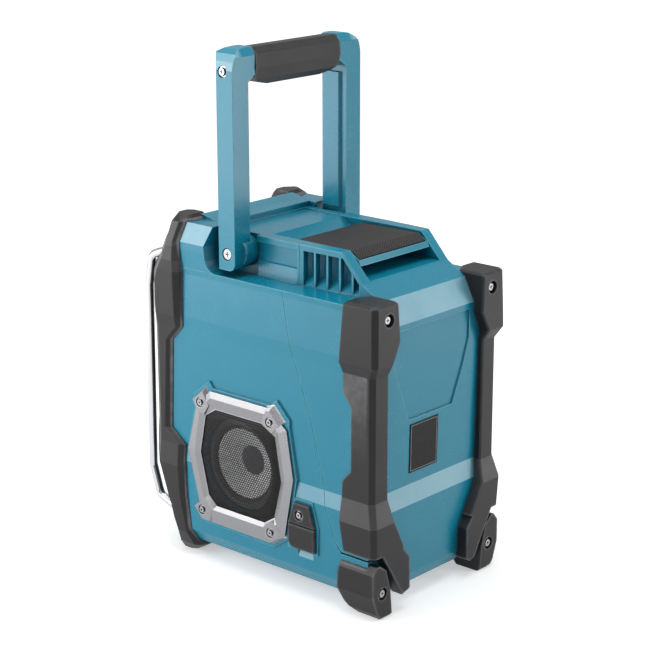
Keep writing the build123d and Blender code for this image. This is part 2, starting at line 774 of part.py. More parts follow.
with BuildPart() as battery_door:
    add(shell.part)
    add(door_zone(0, 0, 0), mode=Mode.INTERSECT)
    add(comb_pockets.part, mode=Mode.SUBTRACT)
    with BuildPart(mode=Mode.PRIVATE) as relief:
        along(RELIEF, 110, 130)
        low, high = BAND_Z[1], CHAMFER_Z
        sunk = [(rear_y(low, -RELIEF_DEPTH), low), (140, low), (140, high)]
        across(sunk + [(rear_y(high, -RELIEF_DEPTH), high)], -60, 60, Mode.INTERSECT)
    add(relief.part, mode=Mode.SUBTRACT)
    for side in (1, -1):
        boss(side * 57, side * 71, 112, 121.5, BUMPER_SCREW[1] - 6.4, BUMPER_SCREW[1] + 5)
        rod_y(side * BUMPER_SCREW[0], BUMPER_SCREW[1], SHANK_R, 105, 140, Mode.SUBTRACT)
        foot = [(SEAM_Y - 0.1, 262.6), (SEAM_Y + 6, 258.5), (SEAM_Y + 6, 268), (24, 268)]
        nose = [(24, 268), (24, 275.2), (16.2, 275.2), (15.4, 271.0), (18, 266.6)]
        across(foot, side * EAR_X[0], side * EAR_X[1])
        across(nose + foot[:1], side * EAR_X[0], side * EAR_X[1])
        rod_x(*LEVER_PIN, LEVER_PIN_R, side * 34, side * 42, Mode.SUBTRACT)
        inner = HINGE_LUG_X + SLIDE_GAP
        with BuildPart(mode=Mode.PRIVATE) as knuckle:
            block(side * inner, side * (inner + 5), HINGE_Y, 121.5, BASE_Z + 0.6, HINGE_Z + 8)
            rod_x(HINGE_Y, HINGE_Z, 3.4, side * inner, side * (inner + 5))
            add(envelope.part, mode=Mode.INTERSECT)
        add(knuckle.part)
        rod_x(HINGE_Y, HINGE_Z, HINGE_R, side * 30, side * 52, Mode.SUBTRACT)
        clear = side * (HINGE_LUG_X - 6 - SLIDE_GAP)
        block(clear, side * inner, 100, HINGE_Y + 4.4, 0, HINGE_Z + 8, Mode.SUBTRACT)
save(battery_door.part, "battery_door")

with BuildPart() as hinge_pins:
    for side in (1, -1):
        rod_x(HINGE_Y, HINGE_Z, HINGE_R, side * 38.4, side * 49.0)
save(hinge_pins.part, "hinge_pins")

with BuildPart() as rating_plate:
    low, high = PLATE_Z
    plate = [(rear_y(low), low), (rear_y(low, 0.6), low), (rear_y(high, 0.6), high), (rear_y(high), high)]
    across(plate, *PLATE_X)
save(rating_plate.part, "rating_plate")

# gasket on the inner side of the door, along the parting line
GASKET_T = 1.8
with BuildPart() as door_gasket:
    add(lower_body(WALL))
    add(lower_body(WALL + GASKET_T), mode=Mode.SUBTRACT)
    add(door_zone(-1.0, -1.0, -1.0), mode=Mode.INTERSECT)
    add(door_zone(-4.0, -4.0, -4.0), mode=Mode.SUBTRACT)
    block(-90, 90, 0, 150, SILL_Z + 6, SHELF_Z - 12, Mode.INTERSECT)
save(door_gasket.part, "door_gasket")

# ------------------------------------------------------------------ lock lever
LEVER_SIDE = [
    (LEVER_FRONT_Y, 273.6),
    (LEVER_FRONT_Y, 279.2),
    (LEVER_FRONT_Y + 0.8, 280.0),
    (PAD_BEND_Y, 280.8),
    (83.4, 275.6),
    (LEVER_REAR_Y, 271.2),
    (LEVER_REAR_Y - 1.2, 270.4),
    (81.4, 271.4),
    (75.0, 274.2),
    (60.0, 275.0),
    (44.0, 269.0),
    (26.0, 269.0),
    (22.0, 266.5),
    (17.0, 266.5),
]
with BuildPart() as lock_lever:
    across(LEVER_SIDE, -LEVER_X, LEVER_X)
    for side in (1, -1):
        block(side * (EAR_X[0] - SLIDE_GAP), side * 50, 0, SEAM_Y + 8, 250, 276.0, Mode.SUBTRACT)
    rod_x(*LEVER_PIN, LEVER_PIN_R + RUN_FIT, -50, 50, Mode.SUBTRACT)
    pad_seat = [
        (LEVER_FRONT_Y + 1.4, 290),
        (LEVER_FRONT_Y + 1.4, 279.0),
        (PAD_BEND_Y - 0.2, 279.8),
        (82.2, 275.2),
        (86.0, 277.0),
        (86.0, 290),
    ]
    across(pad_seat, -PAD_X, PAD_X, Mode.SUBTRACT)
save(lock_lever.part, "lock_lever")

with BuildPart() as lever_pad:
    pad_side = [
        (LEVER_FRONT_Y + 1.4, 279.0),
        (LEVER_FRONT_Y + 1.8, 280.6),
        (PAD_BEND_Y + 0.2, 281.5),
        (83.2, 276.6),
        (82.2, 275.2),
        (PAD_BEND_Y - 0.2, 279.8),
    ]
    across(pad_side, -PAD_X, PAD_X)
save(lever_pad.part, "lever_pad")

with BuildPart() as lever_pin:
    rod_x(*LEVER_PIN, LEVER_PIN_R, -EAR_X[1], EAR_X[1])
save(lever_pin.part, "lever_pin")

# ------------------------------------------------------------------ carrying handle
ARM_SIDE = [
    (ARM_Y[0], 264),
    (ARM_Y[0] + 2, 259),
    (ARM_Y[0] + 7, 255.6),
    (-21, 255.6),
    (-18, 257.2),
    (ARM_Y[1], 261),
    (ARM_Y[1], 424),
    (-20, HANDLE_TOP_Z),
    (-34, HANDLE_TOP_Z),
    (-39, 427),
    (ARM_Y[0], 421),
]
ARM_FRONT = [
    (ARM_X[0], 250),
    (ARM_X[1], 250),
    (ARM_X[1], 414),
    (74.0, 420.8),
    (70.4, 426.4),
    (64.6, 429.6),
    (58.0, HANDLE_TOP_Z),
    (GRIP_X, HANDLE_TOP_Z),
    (GRIP_X, GRIP_BOTTOM_Z),
    (ARM_X[0], 403.6),
]
ARM_PLAN = [
    (40, ARM_Y[0]),
    (66.0, ARM_Y[0]),
    (ARM_X[1], -33.3),
    (ARM_X[1], ARM_Y[1]),
    (40, ARM_Y[1]),
]
COVER_PLAN = [
    (ARM_X[0] + 2, ARM_Y[0] + 1.6),
    (ARM_X[0], ARM_Y[0] + 0.4),
    (ARM_COVER_X, ARM_Y[0] + 3.4),
    (ARM_COVER_X, -22.0),
    (ARM_X[0], -20.8),
    (ARM_X[0] + 2, -20.8),
]
GRIP_SIDE = [
    (-38.4, 422),
    (-34, 427.6),
    (-30, 429.8),
    (-21, 429.8),
    (-15.6, 425),
    (-14.8, 414),
    (-17, 404.4),
    (-21.6, 399.2),
    (-30, 399.2),
    (-36, 403.6),
    (-38.6, 410),
]
with BuildPart() as grip_core:
    rod_x(PIVOT_Y - 0.5, CORE_Z, CORE_R, -62, 62)
save(grip_core.part, "grip_core")

with BuildPart() as arm_cover:
    upward(COVER_PLAN, *ARM_COVER_Z)
save_pair(arm_cover.part, "arm_cover")

with BuildPart() as handle_arm:
    across(ARM_SIDE, 40, 80)
    along(ARM_FRONT, -50, -10, Mode.INTERSECT)
    upward(ARM_PLAN, 240, 450, Mode.INTERSECT)
    rod_x(PIVOT_Y, PIVOT_Z, BOSS_R, *BOSS_X)
    add(arm_cover.part, mode=Mode.SUBTRACT)
    add(grip_core.part, mode=Mode.SUBTRACT)
    rod_x(PIVOT_Y, PIVOT_Z, PIVOT_R, 40, 80, Mode.SUBTRACT)
    rod_x(PIVOT_Y, PIVOT_Z, RECESS_R, ARM_X[1] - 2.6, 80, Mode.SUBTRACT)
    rod_x(*TOP_SCREW, RECESS_R - 0.4, ARM_X[1] - 2.0, 80, Mode.SUBTRACT)
    rod_x(*TOP_SCREW, SHANK_R, 63, 80, Mode.SUBTRACT)
save_pair(handle_arm.part, "handle_arm")

with BuildPart() as handle_grip:
    across(GRIP_SIDE, -GRIP_X, GRIP_X)
    under = both_sides([(30.0, 399.0), (44.0, 402.0), (GRIP_X, 407.0), (GRIP_X, 440)])
    along(under, -50, -10, Mode.INTERSECT)
    add(grip_core.part, mode=Mode.SUBTRACT)
save(handle_grip.part, "handle_grip")

with BuildPart() as handle_screws:
    for side in (1, -1):
        seat = (side * (ARM_X[1] - 2.6), PIVOT_Y, PIVOT_Z)
        pivot_plane = Plane(seat, x_dir=(0, 1, 0), z_dir=(side, 0, 0))
        with BuildSketch(pivot_plane) as shoulder:
            Circle(PIVOT_R)
        extrude(shoulder.sketch, amount=-(ARM_X[1] - 2.6 - 43.6))
        with BuildSketch(pivot_plane) as head:
            Circle(4.6)
        extrude(head.sketch, amount=2.2, taper=10)
        with BuildSketch(pivot_plane.offset(2.2)) as cross:
            Rectangle(4.0, 0.9)
            Rectangle(0.9, 4.0)
        extrude(cross.sketch, amount=-1.2, mode=Mode.SUBTRACT)
        screw(Plane((side * (ARM_X[1] - 2.0), *TOP_SCREW), x_dir=(0, 1, 0), z_dir=(side, 0, 0)), 9.0)
save(handle_screws.part, "handle_screws")

# ------------------------------------------------------------------ speakers
def about_speaker(profile):
    """Ring turned about the right speaker's axis from a profile of (x, radius)."""
    plane = Plane((0, SPEAKER_Y, SPEAKER_Z), x_dir=(1, 0, 0), z_dir=(0, -1, 0))
    with BuildPart() as turned:
        with BuildSketch(plane) as section:
            with BuildLine():
                Polyline(*profile, close=True)
            make_face()
        revolve(axis=Axis((0, SPEAKER_Y, SPEAKER_Z), (1, 0, 0)))
    return turned.part


BASKET = [(70, 44), (70, 38.2), (68, 38.2), (68, 39.4), (50, 29.4), (48, 29.4), (48, 32), (67.6, 44)]
CONE = [
    (70, 38.0),
    (70, 36.0),
    (71.6, 33.4),
    (69.8, 30.6),
    (68.6, 29.4),
    (58.4, 12.4),
    (60.6, 8.5),
    (61.8, 4.2),
    (62.1, 0),
    (60.7, 0),
    (60.3, 4.0),
    (59.2, 7.6),
    (57.0, 11.6),
    (57.0, 13.4),
    (67.2, 30.4),
    (68.4, 32.6),
    (68.4, 38.0),
]
with BuildPart() as speaker_basket:
    add(about_speaker(BASKET))
    with BuildPart(mode=Mode.PRIVATE) as windows:
        for n in range(4):
            with Locations(Plane((0, SPEAKER_Y, SPEAKER_Z), z_dir=(1, 0, 0)).rotated((0, 0, 45 + 90 * n))):
                with Locations((36, 0, 58)):
                    Box(40, 22, 12)
    add(windows.part, mode=Mode.SUBTRACT)
    add(about_speaker([(46, 0), (46, 32), (48, 32), (48, 0)]))
save_pair(speaker_basket.part, "speaker_basket")
save_pair(about_speaker(CONE), "speaker_cone")
save_pair(about_speaker([(34, 0), (34, MAGNET_R), (46, MAGNET_R), (46, 0)]), "speaker_magnet")

with BuildPart() as grille:
    across(MESH_EDGE, GRILLE_X, PLINTH_X, inset=-2.8)
save_pair(grille.part, "grille")

def rise(low, high, x0, x1):
    """Ruled solid between two side outlines (y, z) with as many corners."""
    faces = [outline(Plane.YZ.offset(x0), low), outline(Plane.YZ.offset(x1), high)]
    with BuildPart() as risen:
        loft(faces, ruled=True)
    return risen.part


BAR_TOP_X = PLINTH_X + 1.7
# the crest is a narrow land, so the inner slope starts a little inside it
CREST_INNER = [(y + 0.008 * (SPEAKER_Y - y), z + 0.008 * (SPEAKER_Z - z)) for y, z in CREST]
with BuildPart() as bezel:
    across(BAR_EDGE, PLINTH_X, BAR_TOP_X)
    add(rise(BAR_EDGE, CREST, BAR_TOP_X, BEZEL_X))
    add(rise(MESH_EDGE, CREST_INNER, PLINTH_X + 0.4, BEZEL_X), mode=Mode.SUBTRACT)
    across(MESH_EDGE, PLINTH_X - 1, PLINTH_X + 0.4, Mode.SUBTRACT)
    for foot, top in TABS:
        add(rise(foot, top, PLINTH_X, BEZEL_X))
    for dy in (-1, 1):
        for dz in (-1, 1):
            y = SPEAKER_Y + dy * BEZEL_SCREW[0]
            z = SPEAKER_Z + dz * BEZEL_SCREW[1]
            rod_x(y, z, TRIM_RECESS_R, BEZEL_X - 1.6, 90, Mode.SUBTRACT)
            rod_x(y, z, SHANK_R, 60, 90, Mode.SUBTRACT)
save_pair(bezel.part, "bezel")

with BuildPart() as trim_screws:
    for side in (1, -1):
        for dy in (-1, 1):
            for dz in (-1, 1):
                y = SPEAKER_Y + dy * BEZEL_SCREW[0]
                z = SPEAKER_Z + dz * BEZEL_SCREW[1]
                seat = (side * (BEZEL_X - 1.6), y, z)
                screw(Plane(seat, x_dir=(0, 1, 0), z_dir=(side, 0, 0)), 8.0, TRIM_SIZE)
    seat = (PLINTH_X + 1.0, *COVER_SCREW)
    screw(Plane(seat, x_dir=(0, 1, 0), z_dir=(1, 0, 0)), 6.0, TRIM_SIZE)
save(trim_screws.part, "trim_screws")

with BuildPart() as foot_screws:
    for side in (1, -1):
        seat = (side * FOOT_SCREW[0], REAR_SEAT_Y - 0.4, FOOT_SCREW[1])
        screw(Plane(seat, x_dir=(1, 0, 0), z_dir=(0, 1, 0)), 12.0)
save(foot_screws.part, "foot_screws")

with BuildPart() as door_screws:
    for side in (1, -1):
        seat = (side * BUMPER_SCREW[0], REAR_SEAT_Y, BUMPER_SCREW[1])
        screw(Plane(seat, x_dir=(1, 0, 0), z_dir=(0, 1, 0)), 12.0)
save(door_screws.part, "door_screws")

# ------------------------------------------------------------------ socket cover
COVER_X = PLINTH_X + COVER_T
with BuildPart() as port_cover_base:
    top = [
        (COVER_Y[0] + 0.6, CREASE_Z + 0.3),
        (COVER_Y[1] + 2.4, CREASE_Z + 0.3),
        (COVER_TOP_Y[1] + 2.6, COVER_TOP_Z),
        (COVER_TOP_Y[0] + 1.0, COVER_TOP_Z),
    ]
    across(top, PLINTH_X, COVER_X)
    chamfer(port_cover_base.faces().sort_by(Axis.X)[-1].edges(), 0.8)
    rod_x(*COVER_SCREW, TRIM_RECESS_R, PLINTH_X + 1.0, 90, Mode.SUBTRACT)
    rod_x(*COVER_SCREW, SHANK_R, 70, 90, Mode.SUBTRACT)
save(port_cover_base.part, "port_cover_base")

with BuildPart() as port_flap:
    low = [
        (COVER_Y[0] + 4.0, COVER_LOW_Z),
        (COVER_Y[1] + 2.8, COVER_LOW_Z),
        (COVER_Y[1] + 2.4, CREASE_Z - 0.3),
        (COVER_Y[0] + 0.6, CREASE_Z - 0.3),
        (COVER_Y[0] + 0.6, COVER_LOW_Z + 4.0),
    ]
    across(low, PLINTH_X + 0.3, COVER_X)
    chamfer(port_flap.faces().sort_by(Axis.X)[-1].edges(), 0.8)
    block(PLINTH_X - 1.6, PLINTH_X + 0.3, PORT_Y[0] + 0.5, PORT_Y[1] - 0.5, PORT_Z[0] + 1.6, PORT_Z[1] - 0.6)
save(port_flap.part, "port_flap")

with BuildPart() as dc_socket:
    rod_x(*DC_SOCKET, DC_R, 62, PLINTH_X - 2.4)
    rod_x(*DC_SOCKET, 2.75, 66, 80, Mode.SUBTRACT)
    rod_x(*DC_SOCKET, 1.0, 64, PLINTH_X - 3.4)
save(dc_socket.part, "dc_socket")

with BuildPart() as aux_socket:
    rod_x(*AUX_SOCKET, AUX_R, 60, PLINTH_X - 2.4)
    rod_x(*AUX_SOCKET, 1.75, 61, 80, Mode.SUBTRACT)
save(aux_socket.part, "aux_socket")

with BuildPart() as usb_socket:
    block(61, PLINTH_X - 2.4, *USB_Y, *USB_Z)
    block(63, 80, USB_Y[0] + 0.5, USB_Y[1] - 0.5, USB_Z[0] + 0.5, USB_Z[1] - 0.5, Mode.SUBTRACT)
    block(62, PLINTH_X - 4.0, USB_Y[0] + 1.4, USB_Y[1] - 1.4, USB_Z[1] - 2.2, USB_Z[1] - 0.2)
save(usb_socket.part, "usb_socket")

# ------------------------------------------------------------------ inside
with BuildPart() as bay_liner:
    block(-SIDE_X, SIDE_X, LINER_Y, LINER_Y + LINER_T, BASE_Z, SHELF_Z - WALL - 1)
    add(room.part, mode=Mode.INTERSECT)
    for x in (-50, 50):
        for z in (52, 214):
            rod_y(x, z, 2.5, LINER_Y - 4.4, LINER_Y)
save(bay_liner.part, "bay_liner")

CHIPS = [(-30, 180, 16, 16, 2.2), (34, 196, 12, 12, 1.6), (-38, 140, 20, 9, 8), (38, 150, 9, 20, 9)]
with BuildPart() as main_board:
    block(-56, 56, LINER_Y - 4.4 - BOARD_T, LINER_Y - 4.4, 42, 224)
    for x, z, w, h, d in CHIPS:
        y1 = LINER_Y - 4.4 - BOARD_T
        block(x - w / 2, x + w / 2, y1 - d, y1, z - h / 2, z + h / 2)
save(main_board.part, "main_board")

with BuildPart() as heat_sink:
    back = LINER_Y - 4.4 - BOARD_T
    block(-15, 15, back - 3, back, 156, 206)
    for n in range(6):
        x = -14.2 + n * 5.4
        block(x, x + 1.6, back - 14, back - 3, 156, 206)
save(heat_sink.part, "heat_sink")

RAIL_X = 33.0
RAIL_Z = (84.0, 178.0)
with BuildPart() as battery_rail:
    back = LINER_Y + LINER_T
    block(-RAIL_X, RAIL_X, back, back + 4, *RAIL_Z)
    for side in (1, -1):
        block(side * (RAIL_X - 5), side * RAIL_X, back + 4, back + 12, *RAIL_Z)
        block(side * (RAIL_X - 9), side * RAIL_X, back + 9, back + 12, *RAIL_Z)
    for x in (-12, -4, 4, 12):
        block(x - 0.5, x + 0.5, back + 4, back + 8.4, 150, 172)
save(battery_rail.part, "battery_rail")

# ------------------------------------------------------------------ control panel
FACE_Y = FRONT_Y - 1.6
PRESETS = [((n - 2) * PRESET_PITCH, PRESET_Z) for n in range(5)]
KEYS = {f"preset_key_{n + 1}": spot for n, spot in enumerate(PRESETS)}
KEYS.update({f"{name}_key": spot for name, spot in FUNCTION_KEYS.items()})


def plate(centre_x, centre_z, width, height, radius, y0, y1, mode=Mode.ADD):
    """Rounded rectangle facing the front, from y0 to y1."""
    with BuildSketch(Plane.XZ.offset(-y1)) as face:
        with Locations((centre_x, centre_z)):
            RectangleRounded(width, height, radius)
    extrude(face.sketch, amount=y1 - y0, mode=mode)


window_x = 0.0
window_z = (WINDOW_Z[0] + WINDOW_Z[1]) / 2
window_h = WINDOW_Z[1] - WINDOW_Z[0]
with BuildPart() as control_panel:
    plate(0, sum(PANEL_Z) / 2, 2 * PANEL_X, PANEL_Z[1] - PANEL_Z[0], 5, FACE_Y, FRONT_Y)
    block(-PANEL_X + 3.3, PANEL_X - 3.3, FRONT_Y, PANEL_BACK_Y, PANEL_Z[0] + 3.3, PANEL_Z[1] - 3.3)
    plate(0, window_z, 2 * WINDOW_X + 2, window_h + 2, 2.4, FACE_Y - 1, FACE_Y + 1.4, Mode.SUBTRACT)
    plate(0, window_z, 2 * WINDOW_X - 1, window_h - 1, 1.4, FACE_Y - 1, PANEL_BACK_Y + 1, Mode.SUBTRACT)
    for x, z in KEYS.values():
        plate(x, z, KEY_SIZE[0] + 0.6, KEY_SIZE[1] + 0.6, 1.5, FACE_Y - 1, PANEL_BACK_Y + 1, Mode.SUBTRACT)
    rod_y(*KNOB, SHAFT_R + RUN_FIT, FACE_Y - 1, PANEL_BACK_Y + 1, Mode.SUBTRACT)
    for x in (-35, 35):
        for z in (PANEL_Z[0] + 6, PANEL_Z[1] - 5.4):
            rod_y(x, z, 1.7, PANEL_BACK_Y, BOARD_Y)
save(control_panel.part, "control_panel")

with BuildPart() as display_window:
    plate(0, window_z, 2 * WINDOW_X + 2, window_h + 2, 2.4, FACE_Y + 0.2, FACE_Y + 1.4)
save(display_window.part, "display_window")

with BuildPart() as display_module:
    block(-WINDOW_X + 1, WINDOW_X - 1, FACE_Y + 2.0, BOARD_Y, WINDOW_Z[0] + 1, WINDOW_Z[1] - 1)
save(display_module.part, "display_module")

with BuildPart() as panel_board:
    block(-37, 37, BOARD_Y, BOARD_Y + BOARD_T, PANEL_Z[0] + 3.6, PANEL_Z[1] - 3.6)
    block(KNOB[0] - 7, KNOB[0] + 7, PANEL_BACK_Y + 0.4, BOARD_Y, KNOB[1] - 7, KNOB[1] + 7)
save(panel_board.part, "panel_board")

for name, (x, z) in KEYS.items():
    with BuildPart() as key:
        plate(x, z, *KEY_SIZE, 1.2, FACE_Y - KEY_STAND, PANEL_BACK_Y + SLIDE_GAP)
        chamfer(key.faces().sort_by(Axis.Y)[0].edges(), 0.4)
        flange_y = PANEL_BACK_Y + SLIDE_GAP
        plate(x, z, KEY_SIZE[0] + 2.4, KEY_SIZE[1] + 2.4, 1.2, flange_y, flange_y + 0.8)
        rod_y(x, z, 1.5, flange_y + 0.8, BOARD_Y - KEY_TRAVEL - SLIDE_GAP)
    save(key.part, name)

with BuildPart() as tuning_knob:
    rod_y(*KNOB, KNOB_R, FACE_Y - SLIDE_GAP - KNOB_LENGTH, FACE_Y - SLIDE_GAP)
    chamfer(tuning_knob.faces().sort_by(Axis.Y)[0].edges(), 1.2)
    with Locations(Plane((KNOB[0], FACE_Y, KNOB[1]), x_dir=(1, 0, 0), z_dir=(0, -1, 0))):
        with PolarLocations(KNOB_R + 0.6, 24):
            Cylinder(1.1, 2 * (KNOB_LENGTH - 2.5), mode=Mode.SUBTRACT)
    rod_y(*KNOB, SHAFT_R, FACE_Y - SLIDE_GAP, PANEL_BACK_Y)
save(tuning_knob.part, "tuning_knob")

# ------------------------------------------------------------------ aerial
with BuildPart() as aerial_base:
    block(AERIAL_X - 3.8, AERIAL_X + 3.8, FRONT_Y - 1.8, FRONT_Y, AERIAL_Z - 8, AERIAL_Z + 4.6)
    for side in (1, -1):
        inner = AERIAL_X + side * (AERIAL_R + 0.3)
        outer = AERIAL_X + side * 3.8
        block(inner, outer, AERIAL_Y, FRONT_Y, AERIAL_Z - 3, AERIAL_Z + 3)
        rod_x(AERIAL_Y, AERIAL_Z, 3.0, inner, outer)
    rod_x(AERIAL_Y, AERIAL_Z, AERIAL_PIN_R, AERIAL_X - 3.8, AERIAL_X + 3.8)
save(aerial_base.part, "aerial_base")

with BuildPart() as aerial_whip:
    rod_x(AERIAL_Y, AERIAL_Z, 2.7, AERIAL_X - AERIAL_R, AERIAL_X + AERIAL_R)
    with Locations((AERIAL_X, AERIAL_Y, AERIAL_Z - AERIAL_LENGTH / 2 - 1)):
        Cylinder(AERIAL_R, AERIAL_LENGTH - 2)
    with Locations((AERIAL_X, AERIAL_Y, AERIAL_Z - AERIAL_LENGTH)):
        Cylinder(2.6, 6)
    rod_x(AERIAL_Y, AERIAL_Z, AERIAL_PIN_R + RUN_FIT, AERIAL_X - 5, AERIAL_X + 5, Mode.SUBTRACT)
save(aerial_whip.part, "aerial_whip")
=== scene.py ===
"""Finishes, speaker mesh, marks and studio for the jobsite radio.

Everything is in metres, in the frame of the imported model: X across the radio, Y from the
control panel (-Y) to the battery door (+Y), Z up, with the ground at zero.
"""

from math import cos, pi, radians, sin

import bmesh
import bpy
from mathutils import Matrix, Vector

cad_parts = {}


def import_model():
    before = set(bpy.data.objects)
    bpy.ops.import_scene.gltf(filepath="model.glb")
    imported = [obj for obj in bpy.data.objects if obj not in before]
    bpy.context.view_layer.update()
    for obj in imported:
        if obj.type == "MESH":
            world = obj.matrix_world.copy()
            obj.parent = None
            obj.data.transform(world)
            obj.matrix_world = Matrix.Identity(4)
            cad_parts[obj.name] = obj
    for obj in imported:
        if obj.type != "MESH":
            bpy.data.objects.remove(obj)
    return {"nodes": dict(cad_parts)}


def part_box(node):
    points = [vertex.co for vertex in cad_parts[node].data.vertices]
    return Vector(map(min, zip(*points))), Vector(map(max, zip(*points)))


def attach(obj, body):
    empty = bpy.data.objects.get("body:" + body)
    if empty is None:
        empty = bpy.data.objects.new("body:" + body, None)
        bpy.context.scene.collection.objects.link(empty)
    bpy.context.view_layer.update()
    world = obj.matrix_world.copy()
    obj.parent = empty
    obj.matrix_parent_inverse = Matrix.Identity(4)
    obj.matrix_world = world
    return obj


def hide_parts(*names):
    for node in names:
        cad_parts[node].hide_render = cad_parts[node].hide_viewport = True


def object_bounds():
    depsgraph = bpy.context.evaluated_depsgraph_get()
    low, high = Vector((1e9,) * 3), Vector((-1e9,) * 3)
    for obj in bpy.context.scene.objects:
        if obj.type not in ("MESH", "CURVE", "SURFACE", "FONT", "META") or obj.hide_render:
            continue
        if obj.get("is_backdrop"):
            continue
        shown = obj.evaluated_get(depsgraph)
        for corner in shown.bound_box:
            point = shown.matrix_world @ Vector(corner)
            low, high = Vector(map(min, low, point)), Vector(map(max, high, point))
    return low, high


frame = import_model()
cad_low, cad_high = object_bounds()
parts = frame["nodes"]


# ------------------------------------------------------------------ node helpers
def colour(red, green, blue):
    """Colour from screen values of 0 to 255."""
    channels = [v / 255 for v in (red, green, blue)]
    linear = [v / 12.92 if v <= 0.04045 else ((v + 0.055) / 1.055) ** 2.4 for v in channels]
    return (*linear, 1.0)


def shade(tone, factor):
    """Colour made darker or lighter by a factor."""
    return (*(min(1.0, v * factor) for v in tone[:3]), 1.0)


def node(tree, kind, inputs=None, **settings):
    """Add a node, change its settings, and give its inputs values or links."""
    made = tree.nodes.new(kind)
    for key, value in settings.items():
        setattr(made, key, value)
    for key, value in (inputs or {}).items():
        if isinstance(value, bpy.types.NodeSocket):
            tree.links.new(value, made.inputs[key])
        else:
            made.inputs[key].default_value = value
    return made


def maths(tree, operation, *values, clamp=False):
    """One sum on numbers or sockets."""
    inputs = dict(enumerate(values))
    return node(tree, "ShaderNodeMath", inputs, operation=operation, use_clamp=clamp).outputs[0]


def blend(tree, factor, first, second):
    """Colour between two colours."""
    inputs = {0: factor, 6: first, 7: second}
    return node(tree, "ShaderNodeMix", inputs, data_type="RGBA").outputs[2]


def spread(tree, value, low, high, to_low=0.0, to_high=1.0):
    """Value stretched from one range to another, with soft ends."""
    inputs = {
        "Value": value,
        "From Min": low,
        "From Max": high,
        "To Min": to_low,
        "To Max": to_high,
    }
    return node(tree, "ShaderNodeMapRange", inputs, interpolation_type="SMOOTHSTEP").outputs[0]


def noise(tree, vector, scale, detail=2.0, rough=0.5):
    """Noise value over a surface."""
    inputs = {"Vector": vector, "Scale": scale, "Detail": detail, "Roughness": rough}
    return node(tree, "ShaderNodeTexNoise", inputs).outputs[0]


def place(tree):
    """Object coordinates of a surface."""
    return node(tree, "ShaderNodeTexCoord").outputs["Object"]


def split(tree, vector=None):
    """A vector as three values: the object coordinates, unless another is given."""
    whole = place(tree) if vector is None else vector
    return node(tree, "ShaderNodeSeparateXYZ", {0: whole}).outputs


def facing_up(tree):
    """How far a face looks up, in the piece's own frame, so it stays with the piece."""
    turned = node(
        tree,
        "ShaderNodeVectorTransform",
        {0: node(tree, "ShaderNodeNewGeometry").outputs["Normal"]},
        vector_type="NORMAL",
        convert_from="WORLD",
        convert_to="OBJECT",
    )
    return split(tree, turned.outputs[0])[2]


def raised(tree, height, distance, normal):
    """Normal of a surface with relief on it."""
    inputs = {"Height": height, "Distance": distance, "Strength": 1.0, "Normal": normal}
    return node(tree, "ShaderNodeBump", inputs).outputs[0]


FLOAT, VECTOR = "NodeSocketFloat", "NodeSocketVector"


def new_group(name, inputs, outputs):
    """Empty shader group with named sockets; gives its tree, what goes in and what comes out."""
    tree = bpy.data.node_groups.new(name, "ShaderNodeTree")
    for label, start in inputs.items():
        socket = tree.interface.new_socket(label, in_out="INPUT", socket_type=FLOAT)
        socket.default_value = start
    for label, kind in outputs.items():
        tree.interface.new_socket(label, in_out="OUTPUT", socket_type=kind)
    given = tree.nodes.new("NodeGroupInput").outputs
    return tree, given, tree.nodes.new("NodeGroupOutput").inputs


def use(tree, group, **values):
    """Place a shared group in a material; gives its outputs."""
    return node(tree, "ShaderNodeGroup", node_tree=group, inputs=values).outputs


# ------------------------------------------------------------------ shared effects
# A flat face is fully open, at one, and a corner less so. Each pair says how open a spot is
# where an effect begins, and where it is full.
EDGE_OPEN = (0.93, 0.45)
PAINTED_SHADE_OPEN = (0.85, 0.25)
CORNER_OPEN = (0.6, 0.2)
EDGE_REACH = 1.8  # in radii, how far the wear and painted highlight of an edge reach
HOLLOW_REACH = 0.011  # how far other faces are counted
LOOKS_UP = (0.2, 1.0)  # upward part of the normal, from no dust to all of it
LEAN_BEGINS = (0.03, 0.15)  # upward part of the normal on faces that lean back
LEAN_ENDS = (0.85, 0.5)
OUTER_PART = (0.76, 0.84)  # share of the half width or depth, from inner to outer faces


def build_soft_edges():
    """Rounds every edge in the shading, and finds the outer edges."""
    outputs = {"Normal": VECTOR, "Edge": FLOAT}
    tree, given, out = new_group("soft_edges", {"Radius": 0.0008}, outputs)
    rounded = node(tree, "ShaderNodeBevel", {"Radius": given["Radius"]}, samples=8)
    inner = node(
        tree,
        "ShaderNodeAmbientOcclusion",
        {"Distance": maths(tree, "MULTIPLY", given["Radius"], EDGE_REACH)},
        inside=True,
        only_local=True,
        samples=8,
    )
    tree.links.new(rounded.outputs[0], out["Normal"])
    tree.links.new(spread(tree, inner.outputs["AO"], *EDGE_OPEN), out["Edge"])
    return tree


def build_moulded_grain():
    """Fine eroded grain of a mould, and slow mottling of its colour."""
    outputs = {"Height": FLOAT, "Mottle": FLOAT}
    tree, given, out = new_group("moulded_grain", {"Size": 0.0006}, outputs)
    at = place(tree)
    fine = noise(tree, at, maths(tree, "DIVIDE", 1.0, given["Size"]), 3.0, 0.65)
    pits = node(
        tree,
        "ShaderNodeTexVoronoi",
        {"Vector": at, "Scale": maths(tree, "DIVIDE", 0.8, given["Size"])},
        feature="SMOOTH_F1",
    ).outputs["Distance"]
    tree.links.new(maths(tree, "MULTIPLY_ADD", pits, 0.5, fine), out["Height"])
    slow = maths(tree, "MULTIPLY", noise(tree, at, 22.0, 4.0, 0.55), 0.65)
    speck = noise(tree, at, 900.0, 1.0)
    tree.links.new(maths(tree, "MULTIPLY_ADD", speck, 0.35, slow), out["Mottle"])
    return tree


